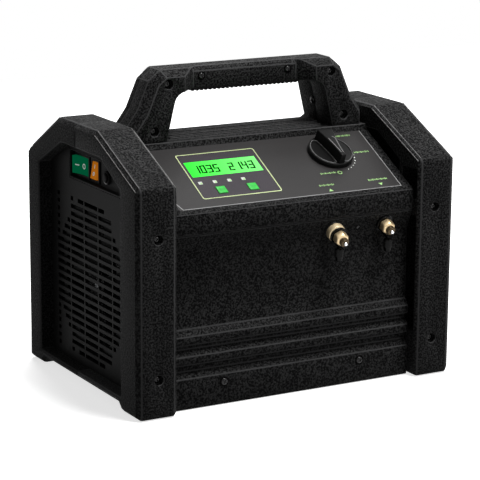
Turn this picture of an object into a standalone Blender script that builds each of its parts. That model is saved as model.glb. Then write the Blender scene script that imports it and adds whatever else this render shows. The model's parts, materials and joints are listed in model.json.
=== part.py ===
"""Portable refrigerant recovery machine, modelled in metres with +Z up.

The machine stands on the XY plane. Its control panel faces -Y, the switch side is -X.
Every Y below counts from the middle of the end frames. The last step moves the whole
machine so that its full depth, ports included, is centred on the origin.
Run it from Blender's text editor or with blender --background --python part.py
"""
import bpy
import bmesh
from math import atan2, cos, hypot, pi, radians, sin, tan
from mathutils import Matrix, Vector

MM = 0.001

# Overall size
WIDTH = 400 * MM
DEPTH = 281 * MM
BODY_HEIGHT = 298.7 * MM
GAP = 0.3 * MM
FRONT_Y = -DEPTH / 2
REAR_Y = DEPTH / 2

# End frames, two halves each
FRAME_WIDTH = 48 * MM
FRONT_EDGE_HEIGHT = BODY_HEIGHT - 46.7 * MM
REAR_EDGE_HEIGHT = BODY_HEIGHT - 49.2 * MM
TOP_FRONT_Y = -0.135 * DEPTH
TOP_REAR_Y = 0.2 * DEPTH
FRAME_EDGE_OUT = 5 * MM
FRAME_EDGE_IN = 3.5 * MM
FRAME_CORNER_RADIUS = 7 * MM
FRAME_WALL = 5 * MM
PARTING_Y = 10 * MM
FOOT_LIFT = 1.0 * MM
SILL_UNDERSIDE = 8.5 * MM
SILL_TOP = 18 * MM
SILL_RAMP = 8 * MM
FRONT_POST = 41.5 * MM
REAR_POST = 32.5 * MM
OPENING_FRONT_Y = FRONT_Y + FRONT_POST
OPENING_REAR_Y = REAR_Y - REAR_POST
OPENING_MID_Y = (OPENING_FRONT_Y + OPENING_REAR_Y) / 2
OPENING_TOP = BODY_HEIGHT - 27.2 * MM
OPENING_FRONT_EDGE = FRONT_EDGE_HEIGHT - 6 * MM
OPENING_REAR_EDGE = REAR_EDGE_HEIGHT - 9.5 * MM
OPENING_TOP_FRONT_Y = TOP_FRONT_Y - 14 * MM
OPENING_TOP_REAR_Y = TOP_REAR_Y - 8 * MM
FOOT_RADIUS = 12.5 * MM
FOOT_THICKNESS = 5 * MM
FRAME_INNER_X = WIDTH / 2 - FRAME_WIDTH
CORE_HALF = FRAME_INNER_X - GAP

# Side panels with their slots
PANEL_RECESS = 16 * MM
PANEL_THICKNESS = 3 * MM
SIDE_PANEL_X = WIDTH / 2 - PANEL_RECESS
SLOT_PITCH = 8.76 * MM
SLOT_HEIGHT = 4.9 * MM
SLOT_FIRST_Z = SILL_TOP + 12.4 * MM
SLOT_COLUMNS = 5
SLOT_SIDE_MARGIN = 15 * MM
COLUMN_PITCH = (OPENING_REAR_Y - OPENING_FRONT_Y - 2 * SLOT_SIDE_MARGIN) / SLOT_COLUMNS
COLUMN_BAR = 2.6 * MM
SLOT_FIELD_RADIUS = 0.53 * SLOT_COLUMNS * COLUMN_PITCH
SLOT_SIDE_RADIUS = 0.49 * SLOT_COLUMNS * COLUMN_PITCH
EDGE_SLOT = 6 * MM

# Switch pocket in the left side panel
POCKET_BOTTOM = OPENING_TOP - 43 * MM
POCKET_TOP = OPENING_TOP - 8.5 * MM
POCKET_REAR_Y = OPENING_TOP_REAR_Y + 11.3 * MM
POCKET_TOP_FRONT_Y = OPENING_TOP_FRONT_Y + 10 * MM
POCKET_FRONT_Y = OPENING_FRONT_Y + 19 * MM
POCKET_FRONT_RISE = 12 * MM
POCKET_DEPTH = 7 * MM
POCKET_WALL = 2 * MM
POCKET_FLOOR = 2.5 * MM
SLOT_ROWS = int((POCKET_BOTTOM - SLOT_FIRST_Z - 20 * MM) / SLOT_PITCH) + 1
SWITCH_Z = POCKET_BOTTOM + 16.7 * MM
POWER_SWITCH_Y = POCKET_REAR_Y - 22 * MM
AUX_SWITCH_Y = POWER_SWITCH_Y - 33.5 * MM
BREAKER_Y = AUX_SWITCH_Y - 28.5 * MM
BREAKER_Z = POCKET_BOTTOM + 14.3 * MM
POWER_ROCKER = (30 * MM, 20 * MM)
AUX_ROCKER = (19 * MM, 14 * MM)
ROCKER_TILT = 10
ROCKER_RISE = 3.2 * MM
ROCKER_DIP = 1.1 * MM
ROCKER_DEPTH = 2.5 * MM
ROCKER_END_GAP = 1.0 * MM
SWITCH_CAVITY = 6.5 * MM
SWITCH_BODY_WALL = 1.4 * MM
SWITCH_RIM = 1.6 * MM
SWITCH_RIM_HEIGHT = 1.2 * MM
SWITCH_BODY_DEPTH = 20 * MM
BREAKER_NUT_RADIUS = 7.6 * MM
BREAKER_BUTTON_RADIUS = 5.0 * MM
BREAKER_RAISED = 4.5 * MM
BREAKER_TRAVEL = 2.5 * MM

# Front, rear and control panels
LIP_Y = FRONT_Y + 11 * MM
LIP_BOTTOM = BODY_HEIGHT - 104 * MM
PANEL_START_Z = BODY_HEIGHT - 80.7 * MM
PANEL_SLOPE = 27.8
PANEL_END_Y = -0.11 * DEPTH
DECK_STEP = 6.5 * MM
DECK_Z = PANEL_START_Z + (PANEL_END_Y - LIP_Y) * tan(radians(PANEL_SLOPE)) + DECK_STEP
DECK_FRONT_Y = PANEL_END_Y + 1.8 * MM
DECK_REAR_Y = 0.128 * DEPTH
REAR_SLOPE = 30
REAR_LIP_Y = REAR_Y - 15 * MM
HOUSING_WALL = 3.5 * MM
LIP_RADIUS = 3 * MM
FACE_Y = FRONT_Y + 21.5 * MM
UNDERCUT_BOTTOM = LIP_BOTTOM - 24.2 * MM
RIB_STEP = 6.5 * MM
RIB_TOPS = (89.5 * MM, 67.2 * MM, 42.4 * MM)
RIB_SLOPE_HEIGHT = 7 * MM
RIB_FACE_HEIGHT = 9.5 * MM
RIB_UNDERSIDE = 1.6 * MM
PANEL_BOTTOM = 0.7 * MM
PANEL_WALL = 3 * MM
PANEL_RETURN = 8 * MM
TOP_FLANGE = 6 * MM
UNDERCUT_TILT = atan2(FACE_Y - LIP_Y, LIP_BOTTOM - UNDERCUT_BOTTOM)

# Overlay, display and keys, in the control panel's own plane
OVERLAY_HALF_WIDTH = CORE_HALF - 11.2 * MM
OVERLAY_LOW = 7.8 * MM
OVERLAY_HIGH = (PANEL_END_Y - LIP_Y) / cos(radians(PANEL_SLOPE)) - 1.2 * MM
OVERLAY_THICKNESS = 0.8 * MM
OVERLAY_SUNK = 0.2 * MM
OVERLAY_FLOOR = OVERLAY_SUNK + OVERLAY_THICKNESS + GAP
WINDOW_SIZE = (84 * MM, 25 * MM)
WINDOW_CENTRE = (42.5 * MM - 100.5 / 140.5 * OVERLAY_HALF_WIDTH,
                 OVERLAY_LOW + 0.6193 * (OVERLAY_HIGH - OVERLAY_LOW))
WINDOW_LEDGE = 2 * MM
KEY_CENTRES = (WINDOW_CENTRE[0] - 19 * MM, WINDOW_CENTRE[0] + 19.5 * MM)
KEY_HEIGHT_ON_PANEL = OVERLAY_LOW + 0.2557 * (OVERLAY_HIGH - OVERLAY_LOW)
KEY_SIZE = 11 * MM
KEY_RAISED = 0.6 * MM
KEY_TRAVEL = 0.8 * MM
KEY_FLANGE = 1.6 * MM
DISPLAY_DEPTH = 8 * MM
BOARD_THICKNESS = 1.6 * MM
BOARD_HALF_WIDTH = WINDOW_SIZE[0] / 2 + 24 * MM
BOARD_MARGIN = 18 * MM

# Selector knob and its valve
KNOB_CENTRE = (0.5836 * OVERLAY_HALF_WIDTH, OVERLAY_HIGH - 35.5 * MM)
KNOB_RADIUS = 24.5 * MM
KNOB_SKIRT = 5.5 * MM
KNOB_SKIRT_TAPER = 1.5 * MM
GRIP_HEIGHT = 12 * MM
GRIP_TAIL_WIDTH = 20 * MM
GRIP_TIP_WIDTH = 4.5 * MM
GRIP_PINCH = 1.6
STEM_RADIUS = 4 * MM
STEM_DEPTH = 24 * MM
VALVE_RADIUS = 17 * MM
VALVE_DEPTH = 34 * MM

# Ports on the undercut
PORT_XS = (0.33 * CORE_HALF, 0.771 * CORE_HALF)
PORT_DOWN = 14.3 * MM
SHANK_RADIUS = 5 * MM
COLLAR_RADIUS = 12 * MM
COLLAR_LENGTH = 10.5 * MM
NUT_RADIUS = 8.8 * MM
NUT_LENGTH = 9 * MM
THREAD_RADIUS = 5.4 * MM
THREAD_LENGTH = 6 * MM
TIP_RADIUS = 3.2 * MM
TIP_LENGTH = 3 * MM
TIP_TAPER = 0.6
TETHER_THICKNESS = 2 * MM
TETHER_RADIUS = 8.2 * MM
CAP_RADIUS = 5.5 * MM
CAP_LENGTH = 15 * MM
CAP_REACHES = (8 * MM, 13 * MM)
STRAP_RADIUS = 0.9 * MM
STRAP_CLEARANCE = 2.5 * MM

# Handle
HANDLE_HEIGHT = 78.5 * MM
HANDLE_TOP = DECK_Z + HANDLE_HEIGHT
HANDLE_FRONT_Y = DECK_FRONT_Y + 0.6 * MM
HANDLE_REAR_Y = DECK_REAR_Y - 2 * MM
HANDLE_SPLIT_Y = (HANDLE_FRONT_Y + HANDLE_REAR_Y) / 2
BAR_SET_BACK = 16 * MM
BAR_CHAMFER = 5.5 * MM
BAR_RAMP = 18 * MM
HANDLE_FRONT_EDGE = 7.5 * MM
HANDLE_FRONT_EDGE_DEPTH = 13 * MM
HANDLE_REAR_EDGE = 11.5 * MM
HANDLE_REAR_EDGE_DEPTH = 22 * MM
LEG_FOOT_X = CORE_HALF - 1.2 * MM
LEG_FOOT_Z = DECK_Z + 0.214 * HANDLE_HEIGHT
LEG_KNEE_X = LEG_FOOT_X - 13.9 * MM
LEG_KNEE_Z = DECK_Z + 0.452 * HANDLE_HEIGHT
LEG_SHOULDER_X = LEG_FOOT_X - 27.5 * MM
LEG_SHOULDER_Z = HANDLE_TOP - 11.5 * MM
LEG_TOP_X = LEG_FOOT_X - 41.5 * MM
LEG_INNER_FOOT_X = LEG_FOOT_X - 44.2 * MM
WINDOW_TOP_X = LEG_FOOT_X - 57 * MM
WINDOW_TOP_Z = HANDLE_TOP - 24.5 * MM
WINDOW_RADIUS = 15 * MM
BAR_HALF_LENGTH = LEG_FOOT_X - 84.5 * MM
HIGH_SCREW = (LEG_FOOT_X - 46.5 * MM, HANDLE_TOP - 15 * MM)
LOW_SCREW = (LEG_FOOT_X - 29 * MM, DECK_Z + 12.5 * MM)
RIDGE_HALF_WIDTH = LEG_INNER_FOOT_X - 9.3 * MM
RIDGE_FRONT_Y = HANDLE_FRONT_Y + 10.5 * MM
RIDGE_REAR_Y = HANDLE_REAR_Y - 10 * MM
RIDGE_STEP = 2.2 * MM
RIDGE_TREAD = 7 * MM
RIDGE_STEPS = 3

# Screws
FRAME_SCREW_X = WIDTH / 2 - 25.6 * MM
FRAME_SCREW_ZS = (44 * MM, FRONT_EDGE_HEIGHT - 55 * MM)
HEAD_RADIUS = 4.6 * MM
HEAD_HEIGHT = 2.6 * MM
SCREW_LENGTH = 15 * MM
SCREW_RADIUS = 2 * MM
SCREW_WELL = 6 * MM

# Drive line, on an axis along X through the middle of the side opening
AXIS_Z = SILL_TOP + 0.475 * (POCKET_BOTTOM - SILL_TOP)
SHAFT_RADIUS = 5 * MM
FAN_RADIUS = 0.333 * (POCKET_BOTTOM - SILL_TOP)
FAN_TIP_GAP = 3 * MM
FAN_HUB_RADIUS = 20 * MM
FAN_HUB_LENGTH = 18 * MM
FAN_BLADES = 7
FAN_BLADE_TWIST = 32
FAN_BLADE_CHORD = 30 * MM
FAN_BLADE_THICKNESS = 2.2 * MM
SHROUD_PLATE = 2.6 * MM
SHROUD_RING = 3 * MM
SHROUD_DEPTH = 24 * MM
SHROUD_MARGIN = 6 * MM
FAN_TO_MOTOR = 14 * MM
MOTOR_RADIUS = 0.247 * (POCKET_BOTTOM - SILL_TOP)
MOTOR_LENGTH = 0.343 * 2 * CORE_HALF
MOTOR_END = 12 * MM
CRANKCASE_LENGTH = 0.257 * 2 * CORE_HALF
CRANKCASE_HALF = 0.71 * MOTOR_RADIUS
BEARING_DEPTH = 0.8 * CRANKCASE_LENGTH
CYLINDER_RADIUS = 21 * MM
FIN_RADIUS = 29 * MM
FIN_COUNT = 4
FIN_PITCH = 0.03203 * DEPTH
FIN_THICKNESS = 3 * MM
CYLINDER_CAP = 12 * MM
CYLINDER_LENGTH = FIN_COUNT * FIN_PITCH + CYLINDER_CAP
SHAFT_START_X = -SIDE_PANEL_X + PANEL_THICKNESS + SHROUD_PLATE + 2 * GAP
MOTOR_START_X = SHAFT_START_X + FAN_HUB_LENGTH + FAN_TO_MOTOR
CRANKCASE_START_X = MOTOR_START_X + MOTOR_LENGTH + GAP
CYLINDER_X = CRANKCASE_START_X + CRANKCASE_LENGTH / 2
CRADLE_LENGTH = 0.58 * MOTOR_LENGTH
CRADLE_HALF_WIDTH = 0.85 * MOTOR_RADIUS
CRADLE_SADDLE = 14 * MM

# Base plate, condenser, valve block and electrics
BASE_THICKNESS = 2 * MM
BASE_Z = 10 * MM
BASE_TOP = BASE_Z + BASE_THICKNESS
BASE_FLANGE = 20 * MM
CONDENSER_THICKNESS = 28 * MM
CONDENSER_X = CORE_HALF - CONDENSER_THICKNESS - 5.7 * MM
CONDENSER_SPINE = 3 * MM
CONDENSER_MARGIN = 14 * MM
CONDENSER_TOP = BODY_HEIGHT - 92.7 * MM
CONDENSER_FINS = 12
COIL_RADIUS = 3 * MM
COIL_SUNK = 2 * MM
COIL_RUNS = 7
COIL_LOW = BASE_TOP + 26 * MM
COIL_HIGH = CONDENSER_TOP - 16 * MM
COIL_HALF_SPAN = (OPENING_REAR_Y - OPENING_FRONT_Y) / 2 - 29.5 * MM
COIL_END = 6 * MM
BLOCK_DEPTH = 26 * MM
BLOCK_ABOVE = 8 * MM
BLOCK_BELOW = 14 * MM
BLOCK_MARGIN = 20 * MM
PRESSURE_SWITCH_RADIUS = 9 * MM
PRESSURE_SWITCH_LENGTH = 0.0925 * DEPTH
POWER_BOARD_SIZE = (0.4 * 2 * CORE_HALF, 78 * MM)
POWER_BOARD_Y = -FACE_Y - 15 * MM
LINE_RADIUS = 3 * MM
INLET_X = -CORE_HALF + 33.7 * MM
INLET_Z = RIB_TOPS[0] + 0.4753 * (UNDERCUT_BOTTOM - RIB_TOPS[0])
INLET_SIZE = (27.5 * MM, 20 * MM)
INLET_RIM = 4.5 * MM
INLET_DEPTH = 26 * MM

FACING_Y = Matrix.Rotation(radians(90), 4, "X")
FACING_X = Matrix.Rotation(radians(90), 4, "Z") @ FACING_Y
ALONG_X = Matrix.Rotation(radians(90), 4, "Y")

PARTS = bpy.data.collections.new("refrigerant_recovery_machine")
GUIDES = bpy.data.collections.new("cutters_and_guides")
MATERIALS = {}
FINISHES = {
    "textured_black": ((0.035, 0.035, 0.036), 0.62, 0.0),
    "smooth_black": ((0.022, 0.022, 0.023), 0.45, 0.0),
    "overlay_grey": ((0.075, 0.072, 0.073), 0.38, 0.0),
    "key_green": ((0.12, 0.62, 0.16), 0.4, 0.0),
    "clear_window": ((0.80, 0.90, 0.80), 0.05, 0.0),
    "rocker_green": ((0.0, 0.32, 0.17), 0.25, 0.0),
    "rocker_amber": ((0.85, 0.42, 0.06), 0.25, 0.0),
    "brass": ((0.78, 0.56, 0.26), 0.3, 1.0),
    "copper": ((0.80, 0.42, 0.27), 0.35, 1.0),
    "aluminium": ((0.68, 0.69, 0.70), 0.4, 1.0),
    "dark_steel": ((0.06, 0.06, 0.065), 0.35, 1.0),
    "zinc_steel": ((0.55, 0.56, 0.58), 0.4, 1.0),
    "rubber": ((0.015, 0.015, 0.016), 0.7, 0.0),
    "board_green": ((0.02, 0.16, 0.07), 0.5, 0.0),
    "motor_black": ((0.05, 0.05, 0.055), 0.45, 0.6),
}


def start_empty_scene():
    """Remove what the scene holds and add the two collections."""
    for old in list(bpy.data.objects):
        bpy.data.objects.remove(old)
    bpy.context.scene.collection.children.link(PARTS)
    bpy.context.scene.collection.children.link(GUIDES)


def finish(name):
    """Return the named finish as a Principled material."""
    if name not in MATERIALS:
        colour, roughness, metallic = FINISHES[name]
        made = bpy.data.materials.new(name)
        made.use_nodes = True
        shader = made.node_tree.nodes["Principled BSDF"]
        shader.inputs["Base Color"].default_value = (*colour, 1.0)
        shader.inputs["Roughness"].default_value = roughness
        shader.inputs["Metallic"].default_value = metallic
        made.diffuse_color = (*colour, 1.0)
        MATERIALS[name] = made
    return MATERIALS[name]


def place(name, mesh, look, at=None, parent=None):
    """Put a mesh into the parts collection under its node name."""
    item = bpy.data.objects.new(name, mesh)
    if look is None:
        GUIDES.objects.link(item)
        item.hide_render = True
        item.display_type = "WIRE"
    else:
        PARTS.objects.link(item)
        mesh.materials.append(finish(look))
    if parent is not None:
        item.parent = parent
    if at is not None:
        item.matrix_basis = at
    return item


def guide(name, at):
    """Add an empty that carries the pieces of one tilted or moving group."""
    item = bpy.data.objects.new(name, None)
    GUIDES.objects.link(item)
    item.matrix_basis = at
    return item


def at(x=0.0, y=0.0, z=0.0):
    return Matrix.Translation((x, y, z))


def finish_mesh(name, bm, weld=1e-6):
    """Close a bmesh into a mesh with its faces pointing out."""
    bmesh.ops.remove_doubles(bm, verts=bm.verts, dist=weld)
    bmesh.ops.recalc_face_normals(bm, faces=bm.faces)
    mesh = bpy.data.meshes.new(name)
    bm.to_mesh(mesh)
    bm.free()
    return mesh


def smooth_by_angle(mesh, angle=35):
    """Shade a round piece smooth and keep its sharp edges."""
    mesh.shade_smooth()
    mesh.set_sharp_from_angle(angle=radians(angle))


def line_meeting(a, b, c, d):
    """Return where line ab meets line cd, in a plane."""
    u, v = b - a, d - c
    cross = u.x * v.y - u.y * v.x
    if abs(cross) < 1e-12:
        return b.copy()
    along = ((c.x - a.x) * v.y - (c.y - a.y) * v.x) / cross
    return a + u * along


def offset_path(points, inset):
    """Shift an open path to its right by inset, keeping its corners mitred."""
    corners = [Vector(p) for p in points]
    sides = []
    for a, b in zip(corners, corners[1:]):
        run = (b - a).normalized()
        right = Vector((run.y, -run.x)) * inset
        sides.append((a + right, b + right))
    shifted = [sides[0][0]]
    for first, second in zip(sides, sides[1:]):
        shifted.append(line_meeting(*first, *second))
    shifted.append(sides[-1][1])
    return [tuple(p) for p in shifted]


def rounded(points, radii, steps=3, closed=False):
    """Replace each corner that has a radius by a short arc."""
    corners = [Vector(p) for p in points]
    count = len(corners)
    if not isinstance(radii, dict):
        radii = {index: radii for index in range(count)}
    path = []
    for index, corner in enumerate(corners):
        radius = radii.get(index, 0)
        if radius <= 0 or (not closed and index in (0, count - 1)):
            path.append(tuple(corner))
            continue
        before = (corners[index - 1] - corner).normalized()
        after = (corners[(index + 1) % count] - corner).normalized()
        half = before.angle(after) / 2
        reach = radius / tan(half)
        centre = corner + (before + after).normalized() * (radius / sin(half))
        start = corner + before * reach - centre
        end = corner + after * reach - centre
        sweep = start.angle_signed(end)
        for step in range(steps + 1):
            turn = -sweep * step / steps
            arm = Vector((start.x * cos(turn) - start.y * sin(turn),
                          start.x * sin(turn) + start.y * cos(turn)))
            path.append(tuple(centre + arm))
    return path


def rectangle(low_x, low_y, high_x, high_y):
    return [(low_x, low_y), (high_x, low_y), (high_x, high_y), (low_x, high_y)]


def circle(radius, steps, centre=(0.0, 0.0)):
    turns = [2 * pi * step / steps for step in range(steps)]
    return [(centre[0] + radius * cos(a), centre[1] + radius * sin(a)) for a in turns]


def strip(path, thickness):
    """Outline of a bent sheet whose outer face follows the path, wall to its right."""
    return list(path) + offset_path(path, thickness)[::-1]


def plate_mesh(name, outline, thickness, holes=()):
    """Flat outline with holes, raised from local z 0 to its thickness."""
    flat = bpy.data.curves.new(name, "CURVE")
    flat.dimensions = "2D"
    flat.fill_mode = "BOTH"
    flat.extrude = thickness / 2
    for loop in [outline, *holes]:
        spline = flat.splines.new("POLY")
        spline.points.add(len(loop) - 1)
        for point, (x, y) in zip(spline.points, loop):
            point.co = (x, y, 0, 1)
        spline.use_cyclic_u = True
    mesh = mesh_from_curve(name, flat)
    mesh.transform(at(z=thickness / 2))
    return mesh


def mesh_from_curve(name, curve):
    """Turn a curve into one welded, closed mesh."""
    carrier = bpy.data.objects.new(name, curve)
    bpy.context.scene.collection.objects.link(carrier)
    graph = bpy.context.evaluated_depsgraph_get()
    raw = bpy.data.meshes.new_from_object(carrier.evaluated_get(graph))
    bpy.data.objects.remove(carrier)
    bm = bmesh.new()
    bm.from_mesh(raw)
    bpy.data.meshes.remove(raw)
    return finish_mesh(name, bm)


def plate(name, outline, thickness, look, at=None, parent=None, holes=()):
    return place(name, plate_mesh(name, outline, thickness, holes), look, at, parent)


def bar_along_x(name, outline, low_x, high_x, look, holes=()):
    """Outline in the YZ plane, drawn out along X."""
    placed = at(x=low_x) @ FACING_X
    return plate(name, outline, high_x - low_x, look, placed, None, holes)


def box(name, low, high, look, at=None, parent=None):
    """Plain block between two corners."""
    low, high = Vector(low), Vector(high)
    size = high - low
    fit = Matrix.Translation((low + high) / 2) @ Matrix.Diagonal((*size, 1.0))
    bm = bmesh.new()
    bmesh.ops.create_cube(bm, size=1.0, matrix=fit)
    return place(name, finish_mesh(name, bm), look, at, parent)


def rod(name, radius, low_z, high_z, look, at=None, parent=None, segments=24):
    """Plain cylinder along local Z."""
    shift = Matrix.Translation((0, 0, (low_z + high_z) / 2))
    bm = bmesh.new()
    bmesh.ops.create_cone(bm, cap_ends=True, segments=segments, radius1=radius,
                          radius2=radius, depth=high_z - low_z, matrix=shift)
    item = place(name, finish_mesh(name, bm), look, at, parent)
    smooth_by_angle(item.data)
    return item


def turned(name, profile, look, at=None, parent=None, segments=24, ring=False):
    """Turn a profile of (radius, height) points, listed from the top down, about Z."""
    bm = bmesh.new()
    corners = [bm.verts.new((radius, 0, height)) for radius, height in profile]
    for a, b in zip(corners, corners[1:]):
        bm.edges.new((a, b))
    if ring:
        bm.edges.new((corners[-1], corners[0]))
    mesh = bpy.data.meshes.new(name)
    bm.to_mesh(mesh)
    bm.free()
    item = place(name, mesh, look, at, parent)
    spin = item.modifiers.new("turn", "SCREW")
    spin.axis = "Z"
    spin.steps = segments
    spin.render_steps = segments
    spin.use_merge_vertices = True
    spin.merge_threshold = 1e-6
    spin.use_smooth_shade = False
    return item


def loft(name, rings, look, at=None, parent=None):
    """Skin a stack of closed sections with equal point counts and cap both ends."""
    bm = bmesh.new()
    rows = [[bm.verts.new(point) for point in ring] for ring in rings]
    count = len(rows[0])
    for lower, upper in zip(rows, rows[1:]):
        for index in range(count):
            following = (index + 1) % count
            bm.faces.new((lower[index], lower[following], upper[following], upper[index]))
    bm.faces.new(rows[0])
    bm.faces.new(rows[-1])
    return place(name, finish_mesh(name, bm), look, at, parent)


def smooth_route(points, per_span=4):
    """Catmull-Rom curve through the points, with a straight first and last span."""
    stops = [Vector(p) for p in points]
    path = [stops[0]]
    for a, b, c, d in zip(stops, stops[1:], stops[2:], stops[3:]):
        for step in range(per_span):
            t = step / per_span
            path.append(0.5 * (2 * b + (c - a) * t + (2 * a - 5 * b + 4 * c - d) * t ** 2
                               + (3 * b - a - 3 * c + d) * t ** 3))
    return path + stops[-2:]


def tube(name, points, radius, look, parent=None):
    """Round tube with flat ends along the points."""
    line = bpy.data.curves.new(name, "CURVE")
    line.dimensions = "3D"
    line.bevel_depth = radius
    line.bevel_resolution = 2
    line.use_fill_caps = True
    spline = line.splines.new("POLY")
    spline.points.add(len(points) - 1)
    for point, place_on in zip(spline.points, points):
        point.co = (*place_on, 1)
    item = place(name, mesh_from_curve(name, line), look, None, parent)
    smooth_by_angle(item.data, 50)
    return item


def change(target, other, operation):
    """Cut or join with an exact Boolean and put the other shape with the guides."""
    step = target.modifiers.new(operation.lower(), "BOOLEAN")
    step.operation = operation
    step.solver = "EXACT"
    step.object = other
    if other.name in PARTS.objects:
        PARTS.objects.unlink(other)
        GUIDES.objects.link(other)
    other.hide_render = True
    other.display_type = "WIRE"


def cut(target, *cutters):
    for cutter in cutters:
        change(target, cutter, "DIFFERENCE")


def join(target, *others):
    for other in others:
        change(target, other, "UNION")


# End frames

def frame_edges(inset, front):
    """Outer edge of one frame half in (y, z), shifted inward by inset."""
    split = PARTING_Y - GAP / 2 if front else PARTING_Y + GAP / 2
    foot_y = OPENING_FRONT_Y if front else OPENING_REAR_Y
    side = -1 if front else 1
    ramp_y = foot_y - side * SILL_RAMP
    edge_y = FRONT_Y if front else REAR_Y
    edge_z = FRONT_EDGE_HEIGHT if front else REAR_EDGE_HEIGHT
    top_y = TOP_FRONT_Y if front else TOP_REAR_Y
    path = [(split, SILL_UNDERSIDE), (ramp_y, SILL_UNDERSIDE), (foot_y, FOOT_LIFT),
            (edge_y, FOOT_LIFT), (edge_y, edge_z), (top_y, BODY_HEIGHT), (split, BODY_HEIGHT)]
    if not front:
        path.reverse()
    path = offset_path(path, inset)
    if not front:
        path.reverse()
    bend = max(FRAME_CORNER_RADIUS - inset, 1 * MM)
    return rounded(path, {3: bend / 2, 4: bend, 5: bend})


def opening_edge(front, inset=0.0):
    """Edge of the side opening on one frame half, from its top to its sill."""
    split = PARTING_Y - GAP / 2 if front else PARTING_Y + GAP / 2
    inner_y = OPENING_FRONT_Y if front else OPENING_REAR_Y
    knee_y = OPENING_TOP_FRONT_Y if front else OPENING_TOP_REAR_Y
    low_z = OPENING_FRONT_EDGE if front else OPENING_REAR_EDGE
    return [(split, OPENING_TOP), (knee_y, OPENING_TOP), (inner_y, low_z),
            (inner_y, SILL_TOP), (split, SILL_TOP)]


def post_pockets(front):
    """Hollows in a frame post, between its screw bosses, as (low y, low z, high y, high z)."""
    edge_y = FRONT_Y if front else REAR_Y
    inner_y = OPENING_FRONT_Y if front else OPENING_REAR_Y
    low_y = min(edge_y, inner_y) + FRAME_WALL
    high_y = max(edge_y, inner_y) - FRAME_WALL
    boss = 2 * HEAD_RADIUS
    low_z, high_z = FRAME_SCREW_ZS
    return [rectangle(low_y, low_z + boss, high_y, high_z - boss),
            rectangle(low_y, high_z + boss, high_y, OPENING_FRONT_EDGE - FRAME_WALL)]


def make_frame_half(side, front):
    """One half of an end frame: post, foot, top bar and sill with chamfered edges."""
    name = ("left" if side < 0 else "right") + ("_frame_front" if front else "_frame_rear")
    stations = [(FRAME_INNER_X, FRAME_EDGE_IN), (FRAME_INNER_X + FRAME_EDGE_IN, 0.0),
                (WIDTH / 2 - FRAME_EDGE_OUT, 0.0), (WIDTH / 2, FRAME_EDGE_OUT)]
    rings = []
    for x, inset in stations:
        ring = frame_edges(inset, front) + opening_edge(front)
        rings.append([(side * x, y, z) for y, z in ring])
    half = loft(name, rings, "textured_black")
    for number, pocket in enumerate(post_pockets(front)):
        reach = (FRAME_INNER_X - FRAME_WALL, WIDTH / 2 - FRAME_WALL)
        low_x, high_x = sorted(side * x for x in reach)
        cut(half, bar_along_x(f"{name}_hollow_{number}", pocket, low_x, high_x, None))
    edge_y = FRONT_Y if front else REAR_Y
    inner_y = OPENING_FRONT_Y if front else OPENING_REAR_Y
    foot_at = at(side * (FRAME_INNER_X + WIDTH / 2) / 2, (edge_y + inner_y) / 2)
    cut(half, rod(f"{name}_foot_seat", FOOT_RADIUS + GAP, -1 * MM, FOOT_THICKNESS + GAP, None, foot_at))
    foot_name = name.replace("_frame", "_foot")
    rod(foot_name, FOOT_RADIUS, 0.0, FOOT_THICKNESS, "rubber", foot_at)
    return half


def make_frames():
    for side in (-1, 1):
        front_half = make_frame_half(side, True)
        make_frame_half(side, False)
        word = "left" if side < 0 else "right"
        for level, z in zip(("low", "high"), FRAME_SCREW_ZS):
            spot = at(side * FRAME_SCREW_X, FRONT_Y, z) @ FACING_Y
            make_screw(f"{word}_frame_screw_{level}", spot, front_half)


# Screws

def make_screw(name, spot, carrier):
    """Sunk pan-head screw along local -Z, with its well cut in the carrier."""
    head = HEAD_RADIUS
    seat = -SCREW_WELL
    tip = seat - SCREW_LENGTH
    crown = [(0, seat + HEAD_HEIGHT), (head * 0.7, seat + HEAD_HEIGHT * 0.85),
             (head, seat + HEAD_HEIGHT * 0.3), (head, seat), (SCREW_RADIUS, seat),
             (SCREW_RADIUS, tip), (0, tip)]
    turned(name, crown, "dark_steel", spot, None, 12)
    hole = [(0, 2 * MM), (head + 3 * GAP, 2 * MM), (head + 3 * GAP, seat - GAP),
            (SCREW_RADIUS + GAP, seat - GAP), (SCREW_RADIUS + GAP, tip - GAP), (0, tip - GAP)]
    cut(carrier, turned(f"{name}_well", hole, None, spot, None, 16))


# Side panels and the switches in the left one

def opening_outline(inset):
    """Whole side opening as one closed outline, shifted inward by inset."""
    edge = [(OPENING_FRONT_Y, SILL_TOP), (OPENING_FRONT_Y, OPENING_FRONT_EDGE),
            (OPENING_TOP_FRONT_Y, OPENING_TOP), (OPENING_TOP_REAR_Y, OPENING_TOP),
            (OPENING_REAR_Y, OPENING_REAR_EDGE), (OPENING_REAR_Y, SILL_TOP),
            (OPENING_FRONT_Y, SILL_TOP), (OPENING_FRONT_Y, OPENING_FRONT_EDGE)]
    shifted = offset_path(edge, inset)
    return shifted[1:-1]


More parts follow.
